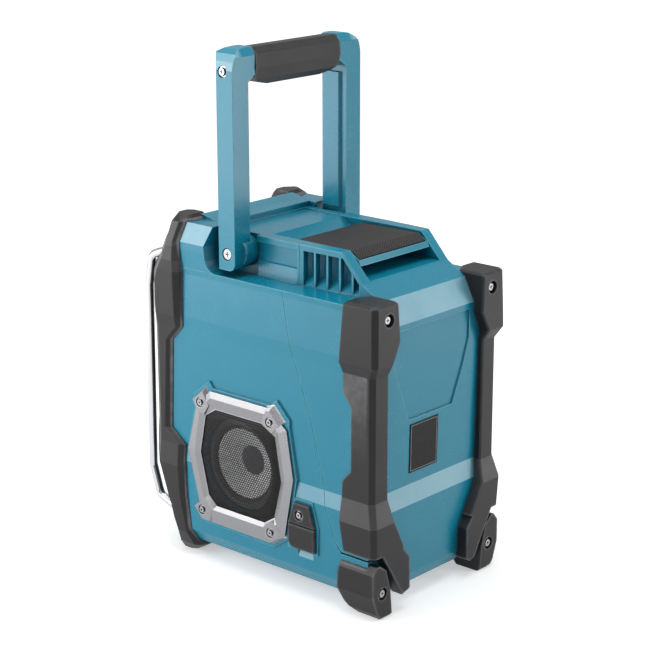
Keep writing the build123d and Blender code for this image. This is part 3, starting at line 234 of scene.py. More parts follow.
def build_edge_scuffs():
    """Broken-up wear along the outer edges, which also serves as a painted highlight on them."""
    inputs = {"Edge": 0.0, "Amount": 0.3}
    tree, given, out = new_group("edge_wear_and_glint", inputs, {"Mask": FLOAT})
    patches = spread(tree, noise(tree, place(tree), 120.0, 5.0, 0.6), 0.35, 0.7, 0.55, 1.0)
    rubbed = maths(tree, "MULTIPLY", given["Edge"], patches)
    tree.links.new(maths(tree, "MULTIPLY", rubbed, given["Amount"], clamp=True), out["Mask"])
    return tree


def build_settled_dust():
    """Dust on faces that look up and in corners, and a mask for painted shade in the hollows
    between other faces.
    """
    outputs = {"Mask": FLOAT, "PaintedShade": FLOAT}
    tree, given, out = new_group("dust_and_corner_shade", {"Amount": 0.05}, outputs)
    flat = maths(tree, "MULTIPLY", spread(tree, facing_up(tree), *LOOKS_UP), 0.6)
    inputs = {"Distance": HOLLOW_REACH}
    corner = node(tree, "ShaderNodeAmbientOcclusion", inputs, samples=8).outputs["AO"]
    # painted shade: the deeper a spot lies between other faces, the more its colour is darkened
    tree.links.new(spread(tree, corner, *PAINTED_SHADE_OPEN), out["PaintedShade"])
    lying = maths(tree, "ADD", flat, spread(tree, corner, *CORNER_OPEN, 0.0, 0.25))
    clouds = spread(tree, noise(tree, place(tree), 60.0, 6.0, 0.7), 0.4, 0.75)
    lying = maths(tree, "MULTIPLY", lying, clouds)
    tree.links.new(maths(tree, "MULTIPLY", lying, given["Amount"], clamp=True), out["Mask"])
    return tree


def build_leaning_faces():
    """Finds the side and rear faces that lean back a little, and how strongly a painted highlight
    lightens them.
    """
    outputs = {"Face": FLOAT, "PaintedSheen": FLOAT}
    tree, given, out = new_group("leaning_faces", {"Strength": 0.4}, outputs)
    up = facing_up(tree)
    lean = maths(tree, "MULTIPLY", spread(tree, up, *LEAN_BEGINS), spread(tree, up, *LEAN_ENDS))
    x, y, _ = split(tree)
    sideways = maths(tree, "ABSOLUTE", maths(tree, "DIVIDE", x, cad_high.x))
    outward = maths(tree, "MAXIMUM", sideways, maths(tree, "DIVIDE", y, cad_high.y))
    face = maths(tree, "MULTIPLY", lean, spread(tree, outward, *OUTER_PART))
    tree.links.new(face, out["Face"])
    # painted highlight on those faces, uneven in strength
    patches = spread(tree, noise(tree, place(tree), 26.0, 3.0, 0.6), 0.3, 0.7, 0.85, 1.15)
    sheen_level = maths(tree, "MULTIPLY", patches, given["Strength"])
    tree.links.new(maths(tree, "MULTIPLY", face, sheen_level), out["PaintedSheen"])
    return tree


soft_edges = build_soft_edges()
moulded_grain = build_moulded_grain()
edge_wear_and_glint = build_edge_scuffs()
dust_and_corner_shade = build_settled_dust()
leaning_faces = build_leaning_faces()


# ------------------------------------------------------------------ finishes
DUST = colour(168, 164, 158)
TONE_SWING = 0.1  # how far the mottling takes a colour up and down
GLOSS_SWING = 0.05
MOTTLE = (0.25, 0.75)
# how much lighter the rim colour of worn and highlighted edges is, where no rim is given
RIM_LIFT = 1.9
# painted shade in hollows: how dark it makes the colour, and how strongly it is laid on
PAINTED_SHADE_FACTOR, PAINTED_SHADE_STRENGTH = 0.3, 0.7
LEAN_COAT = 0.8


def start(name, **sockets):
    """New material; gives it, its tree and its shader, with plain values set on the shader."""
    material = bpy.data.materials.new(name)
    material.use_nodes = True
    shader = material.node_tree.nodes["Principled BSDF"]
    for label, value in sockets.items():
        shader.inputs[label.replace("_", " ")].default_value = value
    return material, material.node_tree, shader


def moulded(
    name,
    tone,
    rough,
    grain=0.0005,
    relief=0.00004,
    radius=0.0008,
    rim=None,
    wear_and_glint=0.3,
    dust=0.06,
    tint=None,
    height=None,
    painted_sheen=None,
    lean=0.0,
    **sockets,
):
    """Moulded or painted finish: mottled colour, grained surface, soft worn edges and some dust.

    tint(tree, colour) may lay a further colour over the base, and height(tree) may add relief
    of its own in metres. A painted sheen, given as a colour and a strength, lightens the faces
    that lean back a little as a painted highlight, and lean roughens those faces and gives them a
    coat.
    """
    material, tree, shader = start(name, **sockets)
    edges = use(tree, soft_edges, Radius=radius)
    skin = use(tree, moulded_grain, Size=grain)
    base = blend(tree, skin["Mottle"], shade(tone, 1 - TONE_SWING), shade(tone, 1 + TONE_SWING))
    if tint:
        base = tint(tree, base)
    # painted highlight: faces that lean back are blended toward the paler sheen colour
    if painted_sheen or lean:
        pale, strength = painted_sheen or (tone, 0.0)
        leaning = use(tree, leaning_faces, Strength=strength)
        base = blend(tree, leaning["PaintedSheen"], base, pale)
    # edge wear and painted highlight: outer edges take the lighter rim colour
    edge_marks = use(tree, edge_wear_and_glint, Edge=edges["Edge"], Amount=wear_and_glint)
    base = blend(tree, edge_marks["Mask"], base, rim or shade(tone, RIM_LIFT))
    dust_and_shade = use(tree, dust_and_corner_shade, Amount=dust)
    # painted shade: the colour is darkened where a spot lies deep between other faces
    painted_shade = maths(tree, "MULTIPLY", dust_and_shade["PaintedShade"], PAINTED_SHADE_STRENGTH)
    base = blend(tree, painted_shade, base, shade(tone, PAINTED_SHADE_FACTOR))
    base = blend(tree, dust_and_shade["Mask"], base, DUST)
    tree.links.new(base, shader.inputs["Base Color"])
    gloss = spread(tree, skin["Mottle"], *MOTTLE, rough - GLOSS_SWING, rough + GLOSS_SWING)
    if lean:
        gloss = maths(tree, "MULTIPLY_ADD", leaning["Face"], lean, gloss)
        coat = maths(tree, "MULTIPLY", leaning["Face"], LEAN_COAT)
        tree.links.new(coat, shader.inputs["Coat Weight"])
    tree.links.new(gloss, shader.inputs["Roughness"])
    normal = edges["Normal"]
    if height:
        normal = raised(tree, height(tree), 1.0, normal)
    normal = raised(tree, skin["Height"], relief, normal)
    tree.links.new(normal, shader.inputs["Normal"])
    return material


RIB_PITCH = 0.0017
RIB_SCALE = pi / 10 / RIB_PITCH
RIB_HEIGHT = 0.0004
RIB_TURN = 33


def rib_rows(tree):
    """Two crossing rows of narrow ribs, from nothing between them to one on their tops."""
    rows = []
    for turn in (RIB_TURN, -RIB_TURN):
        inputs = {"Vector": place(tree), "Rotation": (0, 0, radians(turn))}
        turned = node(tree, "ShaderNodeMapping", inputs)
        wave = node(
            tree,
            "ShaderNodeTexWave",
            {"Vector": turned.outputs[0], "Scale": RIB_SCALE, "Distortion": 0.0},
            wave_type="BANDS",
            bands_direction="Y",
            wave_profile="SIN",
        ).outputs["Fac"]
        rows.append(spread(tree, wave, 0.25, 0.75))
    return maths(tree, "MINIMUM", *rows)


def rib_relief(tree):
    """Height of the crossing ribs."""
    return maths(tree, "MULTIPLY", rib_rows(tree), RIB_HEIGHT)


def rib_tops(tree, base):
    """Tops of the crossing ribs, made lighter than the grooves between them."""
    return blend(tree, rib_rows(tree), colour(24, 22, 23), colour(76, 72, 74))


SPEAKER_Y, SPEAKER_Z = -0.015, 0.094
CONE_R, CAP_R = 0.0295, 0.0124
RIM_BLUR = 0.0002
CONE_PAPER = colour(236, 235, 235)
CAP_TONE = colour(84, 84, 90)
SURROUND_TONE = colour(16, 16, 17)


def paper_cone(tree, base):
    """Cone of grey paper, with a dark cap in the middle and a black rolled surround."""
    _, y, z = split(tree)
    squares = []
    for value, middle in ((y, SPEAKER_Y), (z, SPEAKER_Z)):
        off = maths(tree, "SUBTRACT", value, middle)
        squares.append(maths(tree, "MULTIPLY", off, off))
    across = maths(tree, "SQRT", maths(tree, "ADD", *squares))
    fibres = noise(tree, place(tree), 500.0, 4.0, 0.7)
    paper = blend(tree, fibres, shade(CONE_PAPER, 0.8), shade(CONE_PAPER, 1.2))
    outside = spread(tree, across, CONE_R - RIM_BLUR, CONE_R + RIM_BLUR)
    inside = spread(tree, across, CAP_R + RIM_BLUR, CAP_R - RIM_BLUR)
    return blend(tree, outside, blend(tree, inside, paper, CAP_TONE), SURROUND_TONE)


LINE_INSET = 0.0014
LINE_HALF = (0.0003, 0.0001)


def plate_frame(tree, base):
    """Thin pale line round the rating plate, just inside its edge."""
    x, _, z = split(tree)
    low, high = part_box("rating_plate")
    gaps = [
        maths(tree, "SUBTRACT", x, low.x),
        maths(tree, "SUBTRACT", high.x, x),
        maths(tree, "SUBTRACT", z, low.z),
        maths(tree, "SUBTRACT", high.z, z),
    ]
    pairs = [maths(tree, "MINIMUM", *gaps[:2]), maths(tree, "MINIMUM", *gaps[2:])]
    nearest = maths(tree, "MINIMUM", *pairs)
    off_line = maths(tree, "ABSOLUTE", maths(tree, "SUBTRACT", nearest, LINE_INSET))
    return blend(tree, spread(tree, off_line, *LINE_HALF), base, colour(150, 152, 155))


def copper_traces(tree, base):
    """Tracks and pads on a circuit board."""
    cells = node(
        tree,
        "ShaderNodeTexVoronoi",
        {"Vector": place(tree), "Scale": 240.0},
        distance="CHEBYCHEV",
        feature="F1",
    ).outputs["Distance"]
    inputs = {"Vector": place(tree), "Rotation": (pi / 2, 0, 0)}
    inputs = {
        "Vector": node(tree, "ShaderNodeMapping", inputs).outputs[0],
        "Scale": 180.0,
        "Mortar Size": 0.035,
        "Mortar Smooth": 0.1,
    }
    tracks = node(tree, "ShaderNodeTexBrick", inputs).outputs["Fac"]
    pads = blend(tree, spread(tree, cells, 0.2, 0.12), base, colour(190, 170, 110))
    return blend(tree, tracks, pads, colour(60, 120, 70))


# the rim is a pale teal for worn edges and painted edge highlights; the sheen colour is a painted
# highlight on faces that lean back
teal = moulded(
    "teal_housing",
    colour(12, 128, 154),
    0.25,
    relief=0.000012,
    radius=0.0008,
    rim=colour(120, 198, 216),
    wear_and_glint=0.55,
    dust=0.015,
    painted_sheen=(colour(154, 194, 207), 0.46),
    lean=0.22,
    Specular_IOR_Level=0.4,
    Coat_Roughness=0.4,
)
# the rim is a grey for worn edges and painted edge highlights; the sheen colour is a painted
# highlight on faces that lean back
elastomer = moulded(
    "bumper_elastomer",
    colour(31, 30, 32),
    0.42,
    grain=0.0007,
    relief=0.0001,
    radius=0.0014,
    rim=colour(112, 112, 114),
    wear_and_glint=1.0,
    dust=0.05,
    painted_sheen=(colour(128, 128, 130), 0.24),
    Specular_IOR_Level=0.29,
)
ribbed = moulded(
    "ribbed_pad",
    colour(34, 31, 32),
    0.7,
    radius=0.0004,
    wear_and_glint=0.2,
    dust=0.03,
    tint=rib_tops,
    height=rib_relief,
    Specular_IOR_Level=0.35,
)
gasket = moulded("gasket_rubber", colour(28, 28, 29), 0.75, radius=0.0003, wear_and_glint=0.0)
# the rim is near white for worn edges and painted edge highlights
silver = moulded(
    "silver_paint",
    colour(140, 140, 143),
    0.3,
    relief=0.00001,
    radius=0.0004,
    rim=colour(226, 226, 228),
    wear_and_glint=0.5,
    dust=0.01,
    Metallic=0.85,
)
mesh_black = moulded(
    "mesh_paint",
    colour(24, 24, 26),
    0.45,
    grain=0.0003,
    radius=0.0001,
    wear_and_glint=0.15,
    dust=0.0,
    Specular_IOR_Level=0.3,
)
felt = moulded(
    "speaker_felt", colour(12, 12, 13), 0.95, grain=0.0004, relief=0.0002, radius=0.0001, wear_and_glint=0.0
)
# the rim is white for worn edges and painted glints on them
steel = moulded(
    "screw_steel",
    colour(158, 158, 162),
    0.24,
    relief=0.00001,
    radius=0.0003,
    rim=colour(250, 250, 250),
    wear_and_glint=0.4,
    dust=0.02,
    Metallic=1.0,
)
chrome = moulded(
    "chrome_plating",
    colour(196, 197, 200),
    0.12,
    relief=0.000004,
    radius=0.0003,
    wear_and_glint=0.0,
    dust=0.03,
    Metallic=1.0,
)
cone = moulded(
    "speaker_cone",
    CONE_PAPER,
    0.8,
    grain=0.0007,
    radius=0.0002,
    wear_and_glint=0.0,
    dust=0.02,
    tint=paper_cone,
)
basket = moulded(
    "basket_steel", colour(58, 60, 64), 0.4, radius=0.0004, wear_and_glint=0.2, Metallic=0.8
)
magnet = moulded("magnet_iron", colour(50, 50, 54), 0.5, radius=0.0006, wear_and_glint=0.4, Metallic=0.6)
black = moulded("black_plastic", colour(34, 35, 37), 0.42, radius=0.0005, wear_and_glint=0.3)
plate_black = moulded(
    "plate_print",
    colour(15, 14, 15),
    0.3,
    radius=0.0002,
    wear_and_glint=0.2,
    dust=0.0,
    tint=plate_frame,
    Specular_IOR_Level=0.16,
)
key_rubber = moulded("key_rubber", colour(40, 41, 43), 0.6, radius=0.0004, wear_and_glint=0.35)
socket_metal = moulded(
    "socket_metal", colour(190, 190, 192), 0.3, radius=0.0002, wear_and_glint=0.2, Metallic=1.0
)
board = moulded(
    "circuit_board", colour(24, 84, 48), 0.4, radius=0.0002, wear_and_glint=0.1, tint=copper_traces
)
sink = moulded(
    "sink_aluminium", colour(150, 152, 156), 0.45, radius=0.0003, wear_and_glint=0.3, Metallic=0.9
)
marks = moulded("mark_ink", colour(225, 226, 226), 0.5, radius=0.0001, wear_and_glint=0.0, dust=0.03)
digits = moulded("digit_ink", colour(18, 24, 28), 0.5, radius=0.0001, wear_and_glint=0.0, dust=0.0)

CRYSTAL_TONE = colour(140, 176, 172)
CRYSTAL_LIGHT = colour(166, 198, 190)
DOT_PITCH = 0.0005
DOT_LINE = (-0.9, -0.6)


def display_finish():
    """Back-lit liquid crystal, with a fine dot grid."""
    material, tree, shader = start("display_crystal", Roughness=0.35, Emission_Strength=0.35)
    x, _, z = split(tree)
    dots = []
    for way in (x, z):
        wave = maths(tree, "SINE", maths(tree, "MULTIPLY", way, 2 * pi / DOT_PITCH))
        dots.append(spread(tree, wave, *DOT_LINE))
    grid = maths(tree, "MULTIPLY", *dots)
    glow = blend(tree, noise(tree, place(tree), 40.0), CRYSTAL_TONE, CRYSTAL_LIGHT)
    tone = blend(tree, grid, shade(CRYSTAL_TONE, 0.8), glow)
    tree.links.new(tone, shader.inputs["Base Color"])
    tree.links.new(tone, shader.inputs["Emission Color"])
    return material


def window_finish():
    """Clear window, faintly scratched."""
    material, tree, shader = start("clear_window", Transmission_Weight=1.0, IOR=1.49)
    clouds = noise(tree, place(tree), 30.0)
    tone = blend(tree, clouds, colour(236, 240, 240), colour(248, 250, 250))
    tree.links.new(tone, shader.inputs["Base Color"])
    lines = noise(tree, place(tree), 700.0, 6.0, 0.8)
    tree.links.new(spread(tree, lines, 0.4, 0.8, 0.02, 0.12), shader.inputs["Roughness"])
    bump = node(tree, "ShaderNodeBump", {"Height": lines, "Distance": 0.000004, "Strength": 0.5})
    tree.links.new(bump.outputs[0], shader.inputs["Normal"])
    return material


crystal = display_finish()
window = window_finish()

KEYS = ["power_key", "source_key", "menu_key"] + [f"preset_key_{n}" for n in range(1, 6)]
PAIRS = {
    elastomer: ["front_bumper", "door_bumper", "rear_foot"],
    teal: ["handle_arm", "arm_cover"],
    silver: ["bezel"],
    mesh_black: ["grille"],
    chrome: ["guard_bar"],
    cone: ["speaker_cone"],
    basket: ["speaker_basket"],
    magnet: ["speaker_magnet"],
}
SINGLES = {
    teal: ["front_housing", "battery_door", "lock_lever"],
    elastomer: ["handle_grip", "port_cover_base", "port_flap"],
    ribbed: ["lever_pad"],
    gasket: ["door_gasket"],
    steel: [
        "trim_screws",
        "foot_screws",
        "door_screws",
        "handle_screws",
        "lever_pin",
        "hinge_pins",
        "grip_core",
    ],
    black: [
        "control_panel",
        "bay_liner",
        "battery_rail",
        "tuning_knob",
        "aerial_base",
        "aerial_whip",
        "dc_socket",
        "aux_socket",
    ],
    plate_black: ["rating_plate"],
    key_rubber: KEYS,
    socket_metal: ["usb_socket"],
    board: ["main_board", "panel_board"],
    sink: ["heat_sink"],
    crystal: ["display_module"],
    window: ["display_window"],
}


def paint(name, material):
    """Give a carried-over part its finish."""
    part = parts[name]
    if not part.material_slots:
        part.data.materials.append(material)
    for slot in part.material_slots:
        slot.link = "OBJECT"
        slot.material = material


for material, names in PAIRS.items():
    for name in names:
        for side in ("right", "left"):
            paint(f"{side}_{name}", material)
for material, names in SINGLES.items():
    for name in names:
        paint(name, material)


# ------------------------------------------------------------------ speaker mesh and felt
def finished(bm, name, body, material):
    """Turn a bmesh into a piece that rides on a body."""
    bmesh.ops.triangulate(bm, faces=[f for f in bm.faces if len(f.verts) > 4])
    mesh = bpy.data.meshes.new(name)
    bm.to_mesh(mesh)
    bm.free()
    piece = bpy.data.objects.new(name, mesh)
    bpy.context.scene.collection.objects.link(piece)
    mesh.materials.append(material)
    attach(piece, body)
    return piece


# outline of the mesh, as (y, z)
MESH_EDGE = [
    (-0.0388, 0.0533),
    (0.0152, 0.0533),
    (0.0262, 0.0603),
    (0.0342, 0.0923),
    (0.0278, 0.1292),
    (0.0134, 0.1370),
    (-0.0382, 0.1370),
    (-0.0498, 0.1297),
    (-0.0563, 0.0970),
    (-0.0475, 0.0610),
]
# each side of the outline, as a corner and the way inward
MESH_SIDES = []
for (y0, z0), (y1, z1) in zip(MESH_EDGE, MESH_EDGE[1:] + MESH_EDGE[:1]):
    MESH_SIDES.append((Vector((0, y0, z0)), Vector((0, z0 - z1, y1 - y0)).normalized()))
MESH_MIDDLE = Vector((0, -0.011, 0.095))
MESH_CELLS = 70
MESH_PITCH = 0.0022
MESH_WEB = 0.0002  # half the web between two holes
MESH_X = 0.0769
MESH_SKIN = 0.0003
HOLE_CORNER = 0.0005  # how much of each hole's corners is cut off
HOLE_BORDER = -0.001  # how far past the outline holes still go
ROW_ANGLE = radians(30)  # rows lean this far, so the holes lie staggered
PAN_LIFT = 0.0014
PAN_BORDER = (0.001, 0.006)
EDGE_LAP = 0.0022
FELT_X = 0.07664
FELT_R = 0.0388
FELT_T = 0.00015
TO_SIDE = Matrix.Rotation(radians(90), 4, "Z") @ Matrix.Rotation(radians(90), 4, "X")


def inside_by(point):
    """How far a point lies inside the outline of the speaker mesh."""
    return min((point - corner).dot(inward) for corner, inward in MESH_SIDES)


def trim_to_outline(bm, lap):
    """Cut a flat sheet to the outline of the speaker mesh, let out by lap."""
    for corner, inward in MESH_SIDES:
        bmesh.ops.bisect_plane(
            bm,
            geom=bm.verts[:] + bm.edges[:] + bm.faces[:],
            plane_co=corner + Vector((0, *(-inward.yz * lap))),
            plane_no=-inward,
            clear_outer=True,
            dist=1e-7,
        )


def speaker_mesh():
    """Punched sheet with staggered holes, pressed out to a shallow pan."""
    bm = bmesh.new()
    half = MESH_CELLS * MESH_PITCH / 2
    bmesh.ops.create_grid(bm, x_segments=MESH_CELLS, y_segments=MESH_CELLS, size=half)
    stagger = Matrix(((1, 0.5, 0, 0), (0, cos(ROW_ANGLE), 0, 0), (0, 0, 1, 0), (0, 0, 0, 1)))
    bmesh.ops.transform(bm, matrix=stagger, verts=bm.verts)
    bmesh.ops.transform(bm, matrix=TO_SIDE, verts=bm.verts)
    bmesh.ops.translate(bm, vec=MESH_MIDDLE, verts=bm.verts)
    trim_to_outline(bm, EDGE_LAP)
    least = 0.99 * MESH_PITCH**2 * cos(ROW_ANGLE)
    whole = [f for f in bm.faces if len(f.verts) == 4 and f.calc_area() > least]
    whole = [f for f in whole if min(inside_by(v.co) for v in f.verts) > HOLE_BORDER]
    bmesh.ops.inset_individual(bm, faces=whole, thickness=MESH_WEB, use_even_offset=True)
    corners = list({v for f in whole for v in f.verts})
    bmesh.ops.delete(bm, geom=whole, context="FACES_ONLY")
    bmesh.ops.bevel(
        bm,
        geom=corners,
        offset=HOLE_CORNER,
        offset_type="OFFSET",
        affect="VERTICES",
        segments=1,
        profile=0.5,
        material=-1,
    )
    for v in bm.verts:
        step = (inside_by(v.co) - PAN_BORDER[0]) / (PAN_BORDER[1] - PAN_BORDER[0])
        v.co.x = MESH_X + PAN_LIFT * min(1.0, max(0.0, step))
    bmesh.ops.recalc_face_normals(bm, faces=bm.faces)
    if sum(f.normal.x for f in bm.faces) < 0:
        bmesh.ops.reverse_faces(bm, faces=bm.faces)
    bmesh.ops.solidify(bm, geom=bm.faces, thickness=MESH_SKIN)
    return bm


def felt_ring():
    """Sheet of felt behind the mesh, open over the speaker."""
    bm = bmesh.new()
    made = bmesh.ops.create_circle(bm, segments=96, radius=FELT_R)
    bmesh.ops.transform(bm, matrix=TO_SIDE, verts=made["verts"])
    rim = bmesh.ops.extrude_edge_only(bm, edges=bm.edges[:])
    outer = [v for v in rim["geom"] if isinstance(v, bmesh.types.BMVert)]
    middle = Vector((0, SPEAKER_Y, SPEAKER_Z))
    for v in outer:
        way = v.co.normalized()
        v.co = way * min(
            (corner - inward * EDGE_LAP - middle).dot(inward) / way.dot(inward)
            for corner, inward in MESH_SIDES
            if way.dot(inward) < -1e-6
        )
    bmesh.ops.translate(bm, vec=middle + Vector((FELT_X, 0, 0)), verts=bm.verts)
    bmesh.ops.recalc_face_normals(bm, faces=bm.faces)
    bmesh.ops.solidify(bm, geom=bm.faces, thickness=-FELT_T)
    bmesh.ops.recalc_face_normals(bm, faces=bm.faces)
    return bm


def to_left(bm):
    """The same piece on the left side."""
    twin = bm.copy()
    bmesh.ops.scale(twin, vec=(-1, 1, 1), verts=twin.verts)
    bmesh.ops.reverse_faces(twin, faces=twin.faces)
    return twin


for build, label, material, slot in (
    (speaker_mesh, "speaker_mesh", mesh_black, "black_mesh"),
    (felt_ring, "speaker_felt", felt, "gasket_rubber"),
):
    right = build()
    left = to_left(right)
    for shape, side in ((right, "right"), (left, "left")):
        piece = finished(shape, f"{side}_{label}", "radio_body", material)
        if label == "speaker_mesh":
            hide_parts(f"{side}_grille")


# ------------------------------------------------------------------ marks on the control panel
MARK_T = 0.00006
NUMBER_SIZE = 0.0052
TO_FRONT = Matrix.Rotation(radians(90), 4, "X")


def middle_of(low, high):
    """Middle of a box as seen from the front, as (x, z)."""
    return (low.x + high.x) / 2, (low.z + high.z) / 2


def printed(text, name, body, centre, size, y):
    """Plain number printed on a face that looks to the front."""
    letters = bpy.data.curves.new(name, "FONT")
    letters.body = text
    letters.size = size
    letters.align_x = "CENTER"
    letters.align_y = "CENTER"
    letters.extrude = MARK_T
    drawn = bpy.data.objects.new(name, letters)
    bpy.context.scene.collection.objects.link(drawn)
    bpy.context.view_layer.update()
    shown = drawn.evaluated_get(bpy.context.evaluated_depsgraph_get())
    mesh = bpy.data.meshes.new_from_object(shown)
    bpy.data.objects.remove(drawn)
    mesh.transform(Matrix.Translation((centre[0], y, centre[1])) @ TO_FRONT)
    mesh.materials.clear()
    mesh.materials.append(marks)
    piece = bpy.data.objects.new(name, mesh)
    bpy.context.scene.collection.objects.link(piece)
    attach(piece, body)
    return piece


def bars(spots, name, body, y, material):
    """Flat bars on a face that looks to the front, each as (x, z, width, height)."""
    bm = bmesh.new()
    for x, z, width, height in spots:
        made = bmesh.ops.create_grid(bm, x_segments=1, y_segments=1, size=0.5)["verts"]
        bmesh.ops.scale(bm, vec=(width, height, 1), verts=made)
        bmesh.ops.rotate(bm, cent=(0, 0, 0), matrix=TO_FRONT.to_3x3(), verts=made)
        bmesh.ops.translate(bm, vec=(x, y, z), verts=made)
    bmesh.ops.solidify(bm, geom=bm.faces, thickness=MARK_T)
    bmesh.ops.recalc_face_normals(bm, faces=bm.faces)
    return finished(bm, name, body, material)


for n in range(1, 6):
    low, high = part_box(f"preset_key_{n}")
    spot, front = middle_of(low, high), low.y - MARK_T / 2
    printed(str(n), f"preset_mark_{n}", f"preset_key_{n}", spot, NUMBER_SIZE, front)

# bars on each key, about its middle
ICONS = {
    "power_key": [(0, 0, 0.0008, 0.0036)],
    "source_key": [(-0.0012, 0, 0.0008, 0.0024), (0.0012, 0, 0.0008, 0.0024)],
    "menu_key": [(0, 0.0013, 0.004, 0.0006), (0, 0, 0.004, 0.0006), (0, -0.0013, 0.004, 0.0006)],
}
for name, spots in ICONS.items():
    low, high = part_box(name)
    x, z = middle_of(low, high)
    placed = [(x + dx, z + dz, width, height) for dx, dz, width, height in spots]
    bars(placed, f"{name}_mark", name, low.y - MARK_T / 2, marks)

POINTER_UP, POINTER_W, POINTER_H = 0.0085, 0.0012, 0.006
low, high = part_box("tuning_knob")
x, z = middle_of(low, high)
pointer = (x, z + POINTER_UP, POINTER_W, POINTER_H)
bars([pointer], "knob_pointer", "tuning_knob", low.y - MARK_T / 2, marks)

# seven bars of a digit: top, upper left, upper right, middle, lower left, lower right, bottom
DIGIT_BARS = {"0": "1110111", "1": "0010010", "2": "1011101", "5": "1101011"}
DIGIT_W, DIGIT_H, STROKE = 0.0075, 0.015, 0.0013
FIRST_DIGIT_X, DIGIT_PITCH = -0.0165, 0.011
LEVEL_X, LEVEL_PITCH, LEVEL_W, LEVEL_H = 0.0265, 0.0042, 0.003, 0.0026
LEVEL_DOWN = 0.006  # lowest level bar, below the middle of the display


def digit(mark, x, z):
    """Bars of one digit about its middle."""
    w, h = DIGIT_W / 2, DIGIT_H / 2
    layout = [
        (0, h, DIGIT_W - STROKE, STROKE),
        (-w, h / 2, STROKE, h - STROKE),
        (w, h / 2, STROKE, h - STROKE),
        (0, 0, DIGIT_W - STROKE, STROKE),
        (-w, -h / 2, STROKE, h - STROKE),
        (w, -h / 2, STROKE, h - STROKE),
        (0, -h, DIGIT_W - STROKE, STROKE),
    ]
    chosen = [spot for spot, lit in zip(layout, DIGIT_BARS[mark]) if lit == "1"]
    return [(x + dx, z + dz, width, height) for dx, dz, width, height in chosen]


low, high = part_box("display_module")
_, z = middle_of(low, high)
shown = []
for n, mark in enumerate("1025"):
    shown += digit(mark, FIRST_DIGIT_X + n * DIGIT_PITCH, z)
shown.append((0.0, z - DIGIT_H / 2, STROKE, STROKE))
for n in range(4):
    shown.append((LEVEL_X, z - LEVEL_DOWN + n * LEVEL_PITCH, LEVEL_W, LEVEL_H))
bars(shown, "display_digits", "radio_body", low.y - MARK_T / 2, digits)


# ------------------------------------------------------------------ studio
FLOOR_HALF = 6.0
FLOOR_TONES = ((0.84, 0.84, 0.84, 1), (0.86, 0.86, 0.86, 1))
# distance from the radio over which the floor brightens, and from what to what
NEAR_LIFT = (0.25, 1.3, 0.45, 0.75)
FAR_LIFT = (1.3, 4.0, 0.0, 0.25)
WORLD_FILL = 0.22
MIRRORED = (-0.1, 0.7, 0.25, 0.9)  # from low to high in mirrors, and from dim to bright
MIDDLE = (0, 0, 0.18)


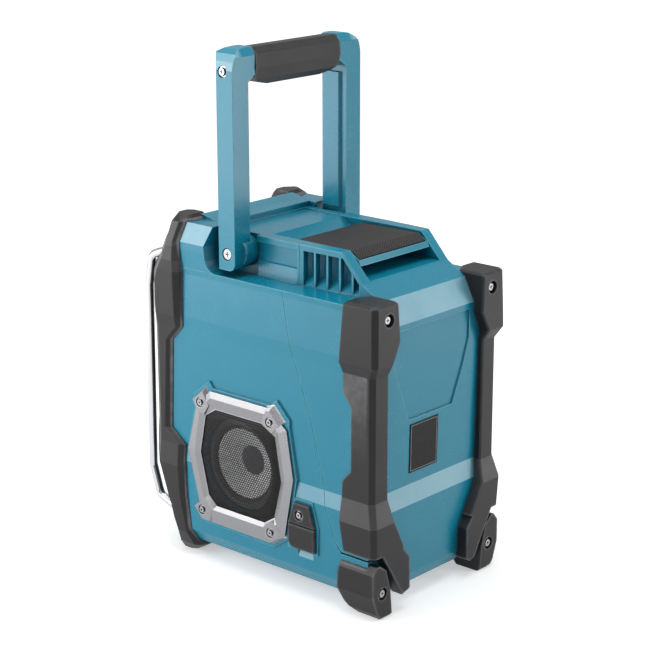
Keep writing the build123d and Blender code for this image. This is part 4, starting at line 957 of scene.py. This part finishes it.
def floor():
    """Pale floor that shows the shadow and is otherwise as white as the backdrop."""
    bm = bmesh.new()
    bmesh.ops.create_grid(bm, x_segments=1, y_segments=1, size=FLOOR_HALF)
    mesh = bpy.data.meshes.new("studio_floor")
    bm.to_mesh(mesh)
    bm.free()
    material, tree, shader = start(
        "floor_paper", Roughness=0.9, Specular_IOR_Level=0.1, Emission_Strength=1.0
    )
    tone = blend(tree, noise(tree, place(tree), 3.0), *FLOOR_TONES)
    tree.links.new(tone, shader.inputs["Base Color"])
    path = node(tree, "ShaderNodeLightPath").outputs
    seen = maths(tree, "MAXIMUM", path["Is Camera Ray"], path["Is Glossy Ray"])
    seen = maths(tree, "MAXIMUM", seen, path["Is Transmission Ray"])
    away = node(tree, "ShaderNodeVectorMath", {0: place(tree)}, operation="LENGTH")
    away = away.outputs["Value"]
    lift = maths(tree, "ADD", spread(tree, away, *NEAR_LIFT), spread(tree, away, *FAR_LIFT))
    tree.links.new(maths(tree, "MULTIPLY", seen, lift), shader.inputs["Emission Color"])
    laid = bpy.data.objects.new("studio_floor", mesh)
    laid.data.materials.append(material)
    bpy.context.scene.collection.objects.link(laid)
    laid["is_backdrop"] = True


def world(fill):
    """White surroundings, which light the object at a lower level than they show."""
    made = bpy.data.worlds.new("studio")
    made.use_nodes = True
    bpy.context.scene.world = made
    tree = made.node_tree
    path = node(tree, "ShaderNodeLightPath").outputs
    direct = maths(tree, "MAXIMUM", path["Is Camera Ray"], path["Is Transmission Ray"])
    up = split(tree, node(tree, "ShaderNodeTexCoord").outputs["Generated"])[2]
    inputs = {0: path["Is Glossy Ray"], 2: fill, 3: spread(tree, up, *MIRRORED)}
    level = node(tree, "ShaderNodeMix", inputs).outputs[0]
    level = node(tree, "ShaderNodeMix", {0: direct, 2: level, 3: 1.0}).outputs[0]
    background = tree.nodes["Background"]
    background.inputs["Color"].default_value = (1, 1, 1, 1)
    tree.links.new(level, background.inputs["Strength"])


def softbox(name, spot, target, size, power):
    """Rectangular soft light of a width and height, aimed at a point."""
    lamp = bpy.data.lights.new(name, "AREA")
    lamp.shape = "RECTANGLE"
    lamp.size, lamp.size_y = size
    lamp.energy = power
    hung = bpy.data.objects.new(name, lamp)
    hung.location = spot
    aim = Vector(target) - Vector(spot)
    hung.rotation_euler = aim.to_track_quat("-Z", "Y").to_euler()
    hung.visible_camera = False
    bpy.context.scene.collection.objects.link(hung)


floor()
world(WORLD_FILL)
softbox("top_box", (0.1, 0.05, 1.6), MIDDLE, (1.2, 1.2), 16)
softbox("side_box", (0.8, -0.68, 0.46), (0, 0, 0.46), (1.0, 0.8), 10)
softbox("rear_box", (-0.66, 0.9, 0.48), (0.05, 0.12, 0.48), (0.4, 0.96), 5.4)

CAMERA_SPOT = (1.11317, 1.00196, 0.63654)
CAMERA_TURN, CAMERA_LIFT, CAMERA_ROLL = radians(131.657), radians(16.284), radians(-0.106)


def camera_frame(turn, lift, roll):
    """Right, up and back of a camera that looks at the radio."""
    back = Vector((sin(turn) * cos(lift), -cos(turn) * cos(lift), sin(lift)))
    right = (-back).cross(Vector((0, 0, 1))).normalized()
    up = right.cross(-back)
    return right * cos(roll) + up * sin(roll), up * cos(roll) - right * sin(roll), back


camera_data = bpy.data.cameras.new("camera")
camera_data.lens = 105.59
camera_data.sensor_width = 36
camera_data.clip_start, camera_data.clip_end = 0.05, 50
camera = bpy.data.objects.new("camera", camera_data)
bpy.context.scene.collection.objects.link(camera)
turned = Matrix(camera_frame(CAMERA_TURN, CAMERA_LIFT, CAMERA_ROLL)).transposed().to_4x4()
camera.matrix_world = Matrix.Translation(CAMERA_SPOT) @ turned
bpy.context.scene.camera = camera
bpy.context.scene.view_settings.view_transform = "Standard"

low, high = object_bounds()
